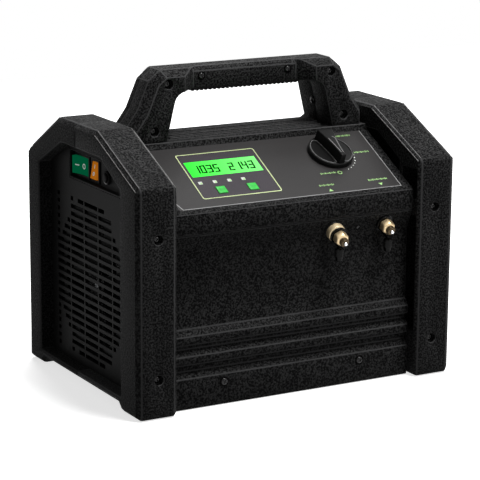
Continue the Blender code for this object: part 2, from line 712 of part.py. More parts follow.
def slot_outlines():
    """Rows of slots inside a circle, and a small square at each slot's rear end outside it."""
    slots = []
    middle_z = SLOT_FIRST_Z + (SLOT_ROWS - 1) * SLOT_PITCH / 2
    field_low = OPENING_MID_Y - SLOT_COLUMNS * COLUMN_PITCH / 2
    for row in range(SLOT_ROWS):
        z = SLOT_FIRST_Z + row * SLOT_PITCH
        low_z, high_z = z - SLOT_HEIGHT / 2, z + SLOT_HEIGHT / 2
        for column in range(SLOT_COLUMNS):
            at_side = column in (0, SLOT_COLUMNS - 1)
            radius = SLOT_SIDE_RADIUS if at_side else SLOT_FIELD_RADIUS
            reach = max(radius ** 2 - (z - middle_z) ** 2, 0) ** 0.5
            low_y = field_low + column * COLUMN_PITCH + COLUMN_BAR / 2
            high_y = low_y + COLUMN_PITCH - COLUMN_BAR
            start = max(low_y, OPENING_MID_Y - reach)
            stop = min(high_y, OPENING_MID_Y + reach)
            square = high_y - EDGE_SLOT
            if stop > square - COLUMN_BAR:
                stop = high_y
            else:
                slots.append(rectangle(square, low_z, high_y, high_z))
            if stop - start > EDGE_SLOT:
                slots.append(rectangle(start, low_z, stop, high_z))
    return slots


def pocket_outline(inset):
    """Switch pocket in (y, z), shifted inward by inset."""
    low_front = (POCKET_FRONT_Y, POCKET_BOTTOM)
    high_front = (POCKET_FRONT_Y, POCKET_BOTTOM + POCKET_FRONT_RISE)
    edge = [low_front, high_front, (POCKET_TOP_FRONT_Y, POCKET_TOP), (POCKET_REAR_Y, POCKET_TOP),
            (POCKET_REAR_Y, POCKET_BOTTOM), low_front, high_front]
    return offset_path(edge, inset)[1:-1]


def make_side_panels():
    slots = slot_outlines()
    outline = opening_outline(GAP)
    outer, inner = SIDE_PANEL_X, SIDE_PANEL_X - PANEL_THICKNESS
    bar_along_x("left_grille", outline, -outer, -inner, "smooth_black",
                holes=[*slots, pocket_outline(0.0)])
    bar_along_x("right_grille", outline, inner, outer, "smooth_black", holes=slots)


def make_switch_tray():
    """Sunk tray that carries the rockers and the breaker, one floor behind the side panel."""
    front_x = -SIDE_PANEL_X
    floor_x = front_x + POCKET_DEPTH
    tray = bar_along_x("switch_tray", pocket_outline(GAP), front_x, floor_x + POCKET_FLOOR,
                       "smooth_black")
    hollow = bar_along_x("switch_tray_hollow", pocket_outline(GAP + POCKET_WALL),
                         front_x - POCKET_DEPTH, floor_x, None)
    cut(tray, hollow)
    return tray, floor_x


def make_rocker_switch(word, centre_y, size, turn, lean, look, tray, floor_x):
    """Rocker in its hollow body, drawn along local Y and turned about X into its place."""
    half_length, half_width = size[0] / 2, size[1] / 2
    cavity_y = half_length + ROCKER_END_GAP
    cavity_z = half_width + GAP
    body_y = cavity_y + SWITCH_BODY_WALL
    body_z = cavity_z + SWITCH_BODY_WALL
    rim_x = floor_x - GAP - SWITCH_RIM_HEIGHT
    turned_seat = Matrix.Rotation(radians(turn), 4, "X")
    seat = at(rim_x, centre_y, SWITCH_Z) @ turned_seat
    body = box(f"{word}_switch_body", (SWITCH_RIM_HEIGHT, -body_y, -body_z),
               (SWITCH_BODY_DEPTH, body_y, body_z), "smooth_black", seat)
    rim_y, rim_z = body_y + SWITCH_RIM, body_z + SWITCH_RIM
    rim = box(f"{word}_switch_rim", (0, -rim_y, -rim_z), (SWITCH_RIM_HEIGHT + GAP / 2, rim_y, rim_z),
              None, seat)
    join(body, rim)
    cavity = box(f"{word}_switch_cavity", (-SWITCH_RIM_HEIGHT, -cavity_y, -cavity_z),
                 (SWITCH_CAVITY, cavity_y, cavity_z), None, seat)
    cut(body, cavity)
    passage = box(f"{word}_switch_passage", (0, -body_y - GAP, -body_z - GAP),
                  (SWITCH_BODY_DEPTH, body_y + GAP, body_z + GAP), None, seat)
    cut(tray, passage)
    outline = [(-half_length, ROCKER_DEPTH), (-half_length, -ROCKER_RISE), (0, -ROCKER_DIP),
               (half_length, -ROCKER_RISE), (half_length, ROCKER_DEPTH)]
    pivot = at(rim_x + ROCKER_DEPTH / 2, centre_y, SWITCH_Z) @ turned_seat
    tilt = Matrix.Rotation(radians(lean), 4, "Z")
    flat = Matrix(((0, 1, 0, -ROCKER_DEPTH / 2), (1, 0, 0, 0), (0, 0, -1, half_width), (0, 0, 0, 1)))
    plate(f"{word}_rocker", outline, size[1], look, pivot @ tilt @ flat)


def make_breaker(tray, floor_x):
    """Push-to-reset breaker: threaded body with a ring nut, and its button."""
    facing = Matrix.Rotation(radians(-90), 4, "Y")
    spot = at(floor_x, BREAKER_Y, BREAKER_Z) @ facing
    bore = BREAKER_BUTTON_RADIUS + GAP
    shank = BREAKER_NUT_RADIUS - 1.2 * MM
    deep = -SWITCH_BODY_DEPTH
    profile = [(bore, 2.2 * MM), (BREAKER_NUT_RADIUS - 0.6 * MM, 2.2 * MM),
               (BREAKER_NUT_RADIUS, 1.4 * MM), (BREAKER_NUT_RADIUS, GAP), (shank, GAP),
               (shank, deep), (0, deep), (0, -4 * MM), (bore, -4 * MM)]
    turned("breaker_body", profile, "smooth_black", spot, None, 20, True)
    cut(tray, rod("breaker_passage", shank + GAP, deep, 2 * MM, None, spot, None, 20))
    low = -4 * MM + BREAKER_TRAVEL + GAP
    turned("breaker_button", [(0, BREAKER_RAISED), (BREAKER_BUTTON_RADIUS * 0.8, BREAKER_RAISED),
                              (BREAKER_BUTTON_RADIUS, BREAKER_RAISED - 0.8 * MM),
                              (BREAKER_BUTTON_RADIUS, low), (0, low)],
           "smooth_black", spot, None, 20)


# Front, rear and base panels

def wall_path(facing):
    """Outer face of the ribbed front or rear wall in (y, z), from its top edge down."""
    face = abs(FACE_Y)
    lip = abs(LIP_Y) if facing < 0 else REAR_LIP_Y
    path = [(lip - GAP - TOP_FLANGE, LIP_BOTTOM - GAP), (lip - GAP, LIP_BOTTOM - GAP),
            (face, UNDERCUT_BOTTOM)]
    for top in RIB_TOPS:
        path += [(face, top), (face + RIB_STEP, top - RIB_SLOPE_HEIGHT)]
        if top != RIB_TOPS[-1]:
            low = top - RIB_SLOPE_HEIGHT - RIB_FACE_HEIGHT
            path += [(face + RIB_STEP, low), (face, low - RIB_UNDERSIDE)]
    path += [(face + RIB_STEP, PANEL_BOTTOM), (face - PANEL_RETURN, PANEL_BOTTOM)]
    return [(facing * y, z) for y, z in path]


def make_walls():
    front_path = wall_path(-1)
    front = bar_along_x("front_panel", strip(front_path[::-1], PANEL_WALL), -CORE_HALF, CORE_HALF,
                        "textured_black")
    rear_path = wall_path(1)
    rear = bar_along_x("rear_panel", strip(rear_path, PANEL_WALL), -CORE_HALF, CORE_HALF,
                       "textured_black")
    inner_y = abs(FACE_Y) - PANEL_WALL - GAP
    tray_path = [(-inner_y, BASE_Z + BASE_FLANGE), (-inner_y, BASE_Z), (inner_y, BASE_Z),
                 (inner_y, BASE_Z + BASE_FLANGE)]
    bar_along_x("base_plate", strip(tray_path[::-1], BASE_THICKNESS), -CORE_HALF, CORE_HALF,
                "zinc_steel")
    return front, rear


def housing_path():
    """Outer face of the control housing in (y, z), from the front lip over to the rear lip."""
    rear_z = DECK_Z - (REAR_LIP_Y - DECK_REAR_Y) * tan(radians(REAR_SLOPE))
    path = [(LIP_Y, LIP_BOTTOM), (LIP_Y, PANEL_START_Z), (PANEL_END_Y, DECK_Z - DECK_STEP),
            (DECK_FRONT_Y, DECK_Z), (DECK_REAR_Y, DECK_Z), (REAR_LIP_Y, rear_z),
            (REAR_LIP_Y, LIP_BOTTOM)]
    return rounded(path, {1: LIP_RADIUS, 5: LIP_RADIUS}, 2)


def ridge_outline():
    """Stepped ridge between the handle's legs."""
    low = DECK_Z - HOUSING_WALL / 2
    up, down = [(RIDGE_FRONT_Y, low)], [(RIDGE_REAR_Y, low)]
    for step in range(RIDGE_STEPS):
        z = DECK_Z + (step + 1) * RIDGE_STEP
        up += [(RIDGE_FRONT_Y + step * RIDGE_TREAD, up[-1][1]), (RIDGE_FRONT_Y + step * RIDGE_TREAD, z)]
        down += [(RIDGE_REAR_Y - step * RIDGE_TREAD, down[-1][1]), (RIDGE_REAR_Y - step * RIDGE_TREAD, z)]
    return up[:1] + up[2:] + down[:1:-1] + down[:1]


def make_control_housing():
    housing = bar_along_x("control_housing", strip(housing_path(), HOUSING_WALL),
                          -CORE_HALF, CORE_HALF, "textured_black")
    join(housing, bar_along_x("deck_ridge", ridge_outline(), -RIDGE_HALF_WIDTH, RIDGE_HALF_WIDTH, None))
    panel = guide("panel_plane", at(0, LIP_Y, PANEL_START_Z)
                  @ Matrix.Rotation(radians(PANEL_SLOPE), 4, "X"))
    recess = box("overlay_recess", (-OVERLAY_HALF_WIDTH - GAP, OVERLAY_LOW - GAP, -OVERLAY_FLOOR),
                 (OVERLAY_HALF_WIDTH + GAP, OVERLAY_HIGH + GAP, HOUSING_WALL), None, None, panel)
    cut(housing, recess)
    (wx, ws), (width, height) = WINDOW_CENTRE, WINDOW_SIZE
    sight = box("window_passage",
                (wx - width / 2 + WINDOW_LEDGE, ws - height / 2 + WINDOW_LEDGE, -2 * HOUSING_WALL),
                (wx + width / 2 - WINDOW_LEDGE, ws + height / 2 - WINDOW_LEDGE, 0), None, None, panel)
    cut(housing, sight)
    for number, x in enumerate(KEY_CENTRES):
        reach = KEY_SIZE / 2 + GAP
        cut(housing, box(f"key_passage_{number}", (x - reach, KEY_HEIGHT_ON_PANEL - reach,
                                                   -2 * HOUSING_WALL),
                         (x + reach, KEY_HEIGHT_ON_PANEL + reach, 0), None, None, panel))
    kx, ks = KNOB_CENTRE
    cut(housing, rod("stem_passage", STEM_RADIUS + GAP, -2 * HOUSING_WALL, HOUSING_WALL, None,
                     at(kx, ks), panel, 16))
    return housing, panel


def make_panel_pieces(panel):
    """Overlay, display window, display, keys and board, all in the panel's plane."""
    top, bottom = -OVERLAY_SUNK, -OVERLAY_SUNK - OVERLAY_THICKNESS
    (wx, ws), (width, height) = WINDOW_CENTRE, WINDOW_SIZE
    kx, ks = KNOB_CENTRE
    reach = KEY_SIZE / 2 + GAP
    holes = [rectangle(wx - width / 2 - GAP, ws - height / 2 - GAP,
                       wx + width / 2 + GAP, ws + height / 2 + GAP)]
    for x in KEY_CENTRES:
        holes.append(rectangle(x - reach, KEY_HEIGHT_ON_PANEL - reach,
                               x + reach, KEY_HEIGHT_ON_PANEL + reach))
    holes.append(circle(STEM_RADIUS + GAP, 16, (kx, ks)))
    outline = rectangle(-OVERLAY_HALF_WIDTH, OVERLAY_LOW, OVERLAY_HALF_WIDTH, OVERLAY_HIGH)
    plate("control_overlay", outline, OVERLAY_THICKNESS, "overlay_grey", at(z=bottom), panel, holes)
    box("display_window", (wx - width / 2, ws - height / 2, bottom),
        (wx + width / 2, ws + height / 2, top), "clear_window", None, panel)
    inset = WINDOW_LEDGE + GAP
    display_top = bottom - 2 * GAP
    display_low = display_top - DISPLAY_DEPTH
    board_top = display_low
    board = box("control_board", (wx - BOARD_HALF_WIDTH, BOARD_MARGIN, board_top - BOARD_THICKNESS),
                (wx + BOARD_HALF_WIDTH, OVERLAY_HIGH - BOARD_MARGIN, board_top), "board_green",
                None, panel)
    join(board, box("display_module",
                    (wx - width / 2 + inset, ws - height / 2 + inset, board_top - BOARD_THICKNESS / 2),
                    (wx + width / 2 - inset, ws + height / 2 - inset, display_top), None, None, panel))
    flange_top = -HOUSING_WALL - GAP
    for word, x in zip(("left", "right"), KEY_CENTRES):
        seat = at(x, KEY_HEIGHT_ON_PANEL)
        half = KEY_SIZE / 2
        wide = half + KEY_FLANGE
        key = box(f"{word}_key", (-half, -half, board_top + KEY_TRAVEL + GAP),
                  (half, half, KEY_RAISED), "key_green", seat, panel)
        join(key, box(f"{word}_key_flange", (-wide, -wide, flange_top - KEY_FLANGE),
                      (wide, wide, flange_top), None, seat, panel))


def make_selector(panel):
    """Round skirt with a pinched pointer bar, its stem and the valve body below."""
    kx, ks = KNOB_CENTRE
    axis = guide("selector_axis", at(kx, ks))
    axis.parent = panel
    low = GAP
    top = low + KNOB_SKIRT
    knob = turned("selector_knob", [(0, top), (KNOB_RADIUS - 2 * KNOB_SKIRT_TAPER, top),
                                    (KNOB_RADIUS - KNOB_SKIRT_TAPER, top - KNOB_SKIRT_TAPER),
                                    (KNOB_RADIUS, low), (0, low)], "smooth_black", None, axis, 32)
    reach = KNOB_RADIUS - 2 * KNOB_SKIRT_TAPER
    side = []
    steps = 8
    for step in range(steps + 1):
        share = step / steps
        width = GRIP_TIP_WIDTH + (GRIP_TAIL_WIDTH - GRIP_TIP_WIDTH) * share ** GRIP_PINCH
        tail_trim = (GRIP_TAIL_WIDTH / 2) ** 2 / (2 * reach)
        side.append((width / 2, -reach + (2 * reach - tail_trim) * share))
    outline = side + [(-x, y) for x, y in reversed(side)]
    join(knob, plate("knob_grip", outline, GRIP_HEIGHT + KNOB_SKIRT_TAPER, None,
                     at(z=top - KNOB_SKIRT_TAPER), axis))
    rod("valve_stem", STEM_RADIUS, -HOUSING_WALL - STEM_DEPTH, 0.0, "zinc_steel", None, axis, 16)
    roof = -HOUSING_WALL - GAP
    bore = STEM_RADIUS + GAP
    profile = [(bore, roof), (VALVE_RADIUS, roof), (VALVE_RADIUS, roof - VALVE_DEPTH),
               (0, roof - VALVE_DEPTH), (0, -HOUSING_WALL - STEM_DEPTH - GAP),
               (bore, -HOUSING_WALL - STEM_DEPTH - GAP)]
    turned("valve_body", profile, "brass", None, axis, 24, True)


# Ports, caps and valve block

def port_frame(name, x):
    """Empty on the undercut with local Z pointing out along the port."""
    y = LIP_Y + PORT_DOWN * sin(UNDERCUT_TILT)
    z = LIP_BOTTOM - PORT_DOWN * cos(UNDERCUT_TILT)
    return guide(name, at(x, y, z) @ Matrix.Rotation(radians(90) + UNDERCUT_TILT, 4, "X"))


def make_port(word, x, front, collar, reach):
    """Flare fitting through the undercut, a tether ring and its hanging cap."""
    frame = port_frame(f"{word}_axis", x)
    start = GAP
    if collar:
        turned(f"{word}_filter_housing",
               [(SHANK_RADIUS + GAP, COLLAR_LENGTH), (COLLAR_RADIUS - 1.5 * MM, COLLAR_LENGTH),
                (COLLAR_RADIUS, COLLAR_LENGTH - 1.5 * MM), (COLLAR_RADIUS, GAP),
                (SHANK_RADIUS + GAP, GAP)], "brass", None, frame, 24, True)
        start = COLLAR_LENGTH + GAP
    nut = start + TETHER_THICKNESS + GAP
    thread = nut + NUT_LENGTH
    tip = thread + THREAD_LENGTH
    inner = -PANEL_WALL - GAP / 2
    turned(f"{word}_port",
           [(0, tip + TIP_LENGTH), (TIP_RADIUS * TIP_TAPER, tip + TIP_LENGTH), (TIP_RADIUS, tip),
            (THREAD_RADIUS, tip), (THREAD_RADIUS, thread), (NUT_RADIUS - 1 * MM, thread),
            (NUT_RADIUS, thread - 1 * MM), (NUT_RADIUS, nut), (SHANK_RADIUS, nut),
            (SHANK_RADIUS, inner), (0, inner)], "brass", None, frame, 24)
    cut(front, rod(f"{word}_passage", SHANK_RADIUS + GAP, -2 * PANEL_WALL, 2 * PANEL_WALL, None,
                   None, frame, 24))
    make_cap(word, frame, start, reach)
    return frame


def make_cap(word, frame, start, reach):
    """Rubber cap on a ring that turns loosely round the port's neck."""
    ring_low, ring_high = start + GAP / 2, start + TETHER_THICKNESS
    bore = SHANK_RADIUS + GAP
    cap = turned(f"{word}_cap", [(bore, ring_high), (TETHER_RADIUS, ring_high),
                                 (TETHER_RADIUS, ring_low), (bore, ring_low)],
                 "rubber", None, frame, 24, True)
    upright = Matrix.Rotation(-(radians(90) + UNDERCUT_TILT), 4, "X")
    middle = (ring_low + ring_high) / 2
    knot = Vector((0, -(TETHER_RADIUS - STRAP_RADIUS), middle))
    bend = Vector((0, -(NUT_RADIUS + STRAP_RADIUS + STRAP_CLEARANCE), middle))
    crown = bend + Vector((0, 0, reach))
    strap = tube(f"{word}_cap_strap", [knot, bend, crown], STRAP_RADIUS, None, frame)
    base = Matrix.Translation(crown) @ upright
    over = CAP_RADIUS * 0.6
    plug = turned(f"{word}_cap_plug",
                  [(0, STRAP_RADIUS), (CAP_RADIUS * 0.55, STRAP_RADIUS), (CAP_RADIUS, -STRAP_RADIUS),
                   (CAP_RADIUS, -CAP_LENGTH + over), (CAP_RADIUS * 0.8, -CAP_LENGTH + over / 3),
                   (CAP_RADIUS * 0.4, -CAP_LENGTH), (0, -CAP_LENGTH)], None, base, frame, 16)
    join(cap, strap, plug)


def make_valve_block(frame):
    """Machined block behind the undercut that both ports screw into."""
    step = PORT_XS[1] - PORT_XS[0]
    back = -PANEL_WALL - 2 * GAP
    box("valve_block", (-BLOCK_MARGIN, -BLOCK_BELOW, back - BLOCK_DEPTH),
        (step + BLOCK_MARGIN, BLOCK_ABOVE, back), "aluminium", None, frame)
    low = back - BLOCK_DEPTH - GAP
    rod("pressure_switch", PRESSURE_SWITCH_RADIUS, low - PRESSURE_SWITCH_LENGTH, low, "brass",
        at(step / 2), frame, 16)


# Handle

def arch_outline(inset):
    """Front view of the handle in (x, z): outer edge shifted by inset, then the window edge."""
    base = DECK_Z + GAP
    outer = [(-LEG_FOOT_X, base), (-LEG_FOOT_X, LEG_FOOT_Z), (-LEG_KNEE_X, LEG_KNEE_Z),
             (-LEG_SHOULDER_X, LEG_SHOULDER_Z), (-LEG_TOP_X, HANDLE_TOP), (LEG_TOP_X, HANDLE_TOP),
             (LEG_SHOULDER_X, LEG_SHOULDER_Z), (LEG_KNEE_X, LEG_KNEE_Z), (LEG_FOOT_X, LEG_FOOT_Z),
             (LEG_FOOT_X, base)]
    window = [(LEG_INNER_FOOT_X, base), (WINDOW_TOP_X, WINDOW_TOP_Z), (-WINDOW_TOP_X, WINDOW_TOP_Z),
              (-LEG_INNER_FOOT_X, base)]
    return offset_path(outer, inset) + rounded(window, WINDOW_RADIUS, 4)


def make_handle():
    """Two half shells, screwed together, with the grip bar set back from the leg faces."""
    front_edge = HANDLE_FRONT_Y + HANDLE_FRONT_EDGE_DEPTH
    rear_edge = HANDLE_REAR_Y - HANDLE_REAR_EDGE_DEPTH
    front_stack = [(HANDLE_FRONT_Y, HANDLE_FRONT_EDGE), (front_edge, 0.0),
                   (HANDLE_SPLIT_Y - GAP / 2, 0.0)]
    rear_stack = [(HANDLE_SPLIT_Y + GAP / 2, 0.0), (rear_edge, 0.0),
                  (HANDLE_REAR_Y, HANDLE_REAR_EDGE)]
    halves = []
    for name, stack in (("handle_front", front_stack), ("handle_rear", rear_stack)):
        rings = [[(x, y, z) for x, z in arch_outline(inset)] for y, inset in stack]
        halves.append(loft(name, rings, "textured_black"))
    front, rear = halves
    for half, face_y, way in ((front, HANDLE_FRONT_Y, 1), (rear, HANDLE_REAR_Y, -1)):
        bar_y = face_y + way * BAR_SET_BACK
        out_y = face_y - way * BAR_SET_BACK
        wide = BAR_HALF_LENGTH + 2 * BAR_RAMP
        notch = [(-BAR_HALF_LENGTH, bar_y), (BAR_HALF_LENGTH, bar_y), (wide, out_y), (-wide, out_y)]
        tall = HANDLE_TOP - DECK_Z
        cut(half, plate(f"{half.name}_notch", notch, 2 * tall, None, at(z=DECK_Z - tall / 2)))
        wedge = [(bar_y - way * GAP, HANDLE_TOP - BAR_CHAMFER), (bar_y + way * BAR_CHAMFER, HANDLE_TOP),
                 (bar_y + way * BAR_CHAMFER, HANDLE_TOP + BAR_CHAMFER),
                 (bar_y - way * GAP, HANDLE_TOP + BAR_CHAMFER)]
        cut(half, bar_along_x(f"{half.name}_chamfer", wedge, -BAR_HALF_LENGTH, BAR_HALF_LENGTH, None))
    for side, word in ((-1, "left"), (1, "right")):
        for level, (x, z) in zip(("high", "low"), (HIGH_SCREW, LOW_SCREW)):
            make_screw(f"{word}_leg_screw_{level}", at(side * x, HANDLE_FRONT_Y, z) @ FACING_Y,
                       front)


# Drive line

def make_fan(axis):
    """Shroud with its ring, and the bladed rotor on the shaft."""
    bore = FAN_RADIUS + FAN_TIP_GAP
    low_x = -SIDE_PANEL_X + PANEL_THICKNESS + GAP
    half = bore + SHROUD_MARGIN
    middle = OPENING_MID_Y
    square = rectangle(middle - half, AXIS_Z - half, middle + half, AXIS_Z + half)
    shroud = bar_along_x("fan_shroud", square, low_x, low_x + SHROUD_PLATE, "smooth_black",
                         holes=[circle(bore, 40, (middle, AXIS_Z))])
    duct = bar_along_x("shroud_duct", circle(bore + SHROUD_RING, 40, (middle, AXIS_Z)),
                       low_x + SHROUD_PLATE / 2, low_x + SHROUD_DEPTH, None,
                       holes=[circle(bore, 40, (middle, AXIS_Z))])
    join(shroud, duct)
    fan = turned("fan_rotor", [(SHAFT_RADIUS + GAP, FAN_HUB_LENGTH),
                               (FAN_HUB_RADIUS, FAN_HUB_LENGTH), (FAN_HUB_RADIUS, 0),
                               (SHAFT_RADIUS + GAP, 0)], "smooth_black",
                 at(z=SHAFT_START_X), axis, 28, True)
    for number in range(FAN_BLADES):
        turn = Matrix.Rotation(2 * pi * number / FAN_BLADES, 4, "Z")
        join(fan, fan_blade(f"fan_blade_{number}", at(z=SHAFT_START_X + FAN_HUB_LENGTH / 2) @ turn, axis))


def fan_blade(name, spot, axis):
    """Twisted blade from inside the hub wall out to the tip."""
    stations = 4
    inner = FAN_HUB_RADIUS - 2 * MM
    rings = []
    for station in range(stations):
        share = station / (stations - 1)
        radius = inner + (FAN_RADIUS - inner) * share
        pitch = radians(FAN_BLADE_TWIST + (1 - share) * FAN_BLADE_TWIST / 2)
        half = FAN_BLADE_CHORD / 2 * (0.62 + 0.38 * share)
        thick = FAN_BLADE_THICKNESS / 2
        ring = []
        for across, up in ((-half, -thick), (half, -thick), (half, thick), (-half, thick)):
            ring.append((radius, across * cos(pitch) - up * sin(pitch),
                         (across * sin(pitch) + up * cos(pitch)) * 0.8))
        rings.append(ring)
    return loft(name, rings, None, spot, axis)


def make_drive(axis):
    """Shaft, motor, crankcase, two opposed finned cylinders and the cradle below."""
    bore = SHAFT_RADIUS + GAP
    shaft_end = CRANKCASE_START_X + BEARING_DEPTH - GAP
    rod("drive_shaft", SHAFT_RADIUS, SHAFT_START_X, shaft_end, "zinc_steel", None, axis, 20)
    end = MOTOR_START_X + MOTOR_LENGTH
    neck = MOTOR_RADIUS * 0.55
    profile = [(bore, end), (MOTOR_RADIUS * 0.8, end), (MOTOR_RADIUS, end - MOTOR_END),
               (MOTOR_RADIUS, MOTOR_START_X + MOTOR_END), (neck, MOTOR_START_X),
               (bore, MOTOR_START_X)]
    turned("motor_housing", profile, "motor_black", None, axis, 32, True)
    half = CRANKCASE_HALF
    start = CRANKCASE_START_X
    case = box("crankcase", (-half, -half, start), (half, half, start + CRANKCASE_LENGTH),
               "aluminium", None, axis)
    cut(case, rod("bearing_bore", bore, start - 1 * MM, start + BEARING_DEPTH, None, None, axis, 20))
    for way, word in ((-1, "front"), (1, "rear")):
        profile = [(0, CYLINDER_LENGTH), (FIN_RADIUS, CYLINDER_LENGTH),
                   (FIN_RADIUS, CYLINDER_LENGTH - CYLINDER_CAP)]
        for fin in reversed(range(FIN_COUNT)):
            low = fin * FIN_PITCH
            profile += [(CYLINDER_RADIUS, low + FIN_PITCH)] if fin == FIN_COUNT - 1 else []
            profile += [(CYLINDER_RADIUS, low + FIN_THICKNESS), (FIN_RADIUS, low + FIN_THICKNESS),
                        (FIN_RADIUS, low), (CYLINDER_RADIUS, low)]
        profile.append((0, 0))
        outward = Matrix.Rotation(radians(-90 * way), 4, "X")
        turned(f"{word}_cylinder", profile, "aluminium",
               at(CYLINDER_X, OPENING_MID_Y + way * (half + GAP), AXIS_Z) @ outward, None, 20)
    make_cradle()


def make_cradle():
    """Saddle between the base plate and the motor."""
    radius = MOTOR_RADIUS + GAP
    foot = BASE_TOP + GAP
    reach = CRADLE_HALF_WIDTH
    saddle_top = AXIS_Z - radius + CRADLE_SADDLE
    open_angle = atan2(radius - CRADLE_SADDLE, (radius ** 2 - (radius - CRADLE_SADDLE) ** 2) ** 0.5)
    steps = 8
    arc = []
    for step in range(steps + 1):
        angle = -open_angle - (pi - 2 * open_angle) * step / steps
        arc.append((OPENING_MID_Y + radius * cos(angle), AXIS_Z + radius * sin(angle)))
    outline = [(OPENING_MID_Y - reach, foot), (OPENING_MID_Y + reach, foot),
               (OPENING_MID_Y + reach, saddle_top), *arc, (OPENING_MID_Y - reach, saddle_top)]
    middle = MOTOR_START_X + MOTOR_LENGTH / 2
    bar_along_x("motor_cradle", outline, middle - CRADLE_LENGTH / 2, middle + CRADLE_LENGTH / 2,
                "zinc_steel")


# Condenser, lines and electrics

def make_condenser():
    """Finned block on the base plate, with its serpentine tube soldered to the inner face."""
    low_y = OPENING_FRONT_Y + CONDENSER_MARGIN
    high_y = OPENING_REAR_Y - CONDENSER_MARGIN
    pitch = (high_y - low_y) / CONDENSER_FINS
    near, far = CONDENSER_X, CONDENSER_X + CONDENSER_THICKNESS
    spine = near + CONDENSER_SPINE
    comb = [(near, low_y)]
    for fin in range(CONDENSER_FINS):
        start = low_y + fin * pitch
        comb += [(far, start), (far, start + pitch * 0.4), (spine, start + pitch * 0.4),
                 (spine, start + pitch)]
    comb = comb[:-1] + [(spine, high_y), (near, high_y)]
    condenser = plate("condenser", comb, CONDENSER_TOP - BASE_TOP - GAP, "aluminium",
                      at(z=BASE_TOP + GAP))
    x = near - COIL_RADIUS + COIL_SUNK
    rise = (COIL_HIGH - COIL_LOW) / (COIL_RUNS - 1)
    bend = rise / 2
    reach = COIL_HALF_SPAN
    middle = OPENING_MID_Y
    way = -1
    z = COIL_LOW
    route = [(x, low_y - COIL_END, z)]
    for run in range(COIL_RUNS):
        way = 1 if run % 2 == 0 else -1
        if run == COIL_RUNS - 1:
            route.append((x, high_y + COIL_END, z))
            break
        for step in range(5):
            angle = -pi / 2 + pi * step / 4
            route.append((x, middle + way * (reach + bend * cos(angle)), z + bend + bend * sin(angle)))
        z += rise
    join(condenser, tube("condenser_coil", route, COIL_RADIUS, None))
    return Vector(route[0]), Vector(route[-1])


def make_lines(coil_start, coil_end, panel, block_frame):
    """Copper lines: valve to front cylinder, rear cylinder to coil, coil to valve block."""
    radius = LINE_RADIUS
    bpy.context.view_layer.update()
    kx, ks = KNOB_CENTRE
    under = -HOUSING_WALL - GAP - VALVE_DEPTH - GAP
    outlet = panel.matrix_world @ Vector((kx, ks, under))
    below = panel.matrix_world @ Vector((kx, ks, under - 4 * radius))
    head_z = AXIS_Z + FIN_RADIUS + GAP
    head_y = OPENING_MID_Y - CRANKCASE_HALF - GAP - CYLINDER_LENGTH + CYLINDER_CAP / 2
    side = (outlet.x + CYLINDER_X) / 2
    suction = [outlet, below, (side + 4 * radius, (below.y + head_y) / 2, (below.z + head_z) / 2 + radius),
               (CYLINDER_X + 3 * radius, head_y, head_z + 7 * radius),
               (CYLINDER_X, head_y, head_z + 4 * radius), (CYLINDER_X, head_y, head_z)]
    tube("suction_line", smooth_route(suction, 3), radius, "copper")
    rear_y = OPENING_MID_Y + CRANKCASE_HALF + GAP + CYLINDER_LENGTH - CYLINDER_CAP / 2
    x = coil_end.x
    z = coil_end.z
    discharge = [(CYLINDER_X, rear_y, head_z), (CYLINDER_X, rear_y, head_z + 4 * radius),
                 (CYLINDER_X + 8 * radius, rear_y + 2 * radius, z - radius),
                 (x - 9 * radius, coil_end.y - 0.4 * radius, z),
                 (x - 3 * radius, coil_end.y + 3.5 * radius, z), (x, coil_end.y + 3 * radius, z),
                 (x, coil_end.y + GAP, z)]
    tube("discharge_line", smooth_route(discharge, 3), radius, "copper")
    back = -PANEL_WALL - 2 * GAP
    local = Vector((x - PORT_XS[0], -BLOCK_BELOW - GAP, back - BLOCK_DEPTH / 2))
    under_local = local - Vector((0, 4 * radius, 0))
    meet = block_frame.matrix_world @ local
    before = block_frame.matrix_world @ under_local
    face = abs(FACE_Y) - PANEL_WALL
    front = -(face - 3 * radius)
    liquid = [(x, coil_start.y - GAP, coil_start.z), (x, coil_start.y - 3 * radius, coil_start.z),
              (x, front, coil_start.z + 5 * radius), (x, front, (coil_start.z + before.z) / 2),
              before, meet]
    tube("liquid_line", smooth_route(liquid, 3), radius, "copper")


def make_electrics(rear):
    """Power inlet in the rear wall, and the power board."""
    face = abs(FACE_Y)
    width, height = INLET_SIZE
    spot = at(INLET_X, face, INLET_Z) @ Matrix.Rotation(radians(-90), 4, "X")
    inlet = box("power_inlet", (-width / 2, -height / 2, -INLET_DEPTH), (width / 2, height / 2, MM),
                "smooth_black", spot)
    rim = INLET_RIM
    join(inlet, box("inlet_flange", (-width / 2 - rim, -height / 2 - rim, GAP),
                    (width / 2 + rim, height / 2 + rim, GAP + 2 * MM), None, spot))
    wall = 2.5 * MM
    cut(inlet, box("inlet_socket", (-width / 2 + wall, -height / 2 + wall, -INLET_DEPTH + 8 * MM),
                   (width / 2 - wall, height / 2 - wall, 4 * MM), None, spot))
    cut(rear, box("inlet_passage", (-width / 2 - GAP, -height / 2 - GAP, -3 * PANEL_WALL),
                  (width / 2 + GAP, height / 2 + GAP, 4 * MM), None, spot))
    long, tall = POWER_BOARD_SIZE
    foot = BASE_TOP + GAP
    box("power_board", (-long / 2, POWER_BOARD_Y, foot), (long / 2, POWER_BOARD_Y + BOARD_THICKNESS,
                                                          foot + tall), "board_green")


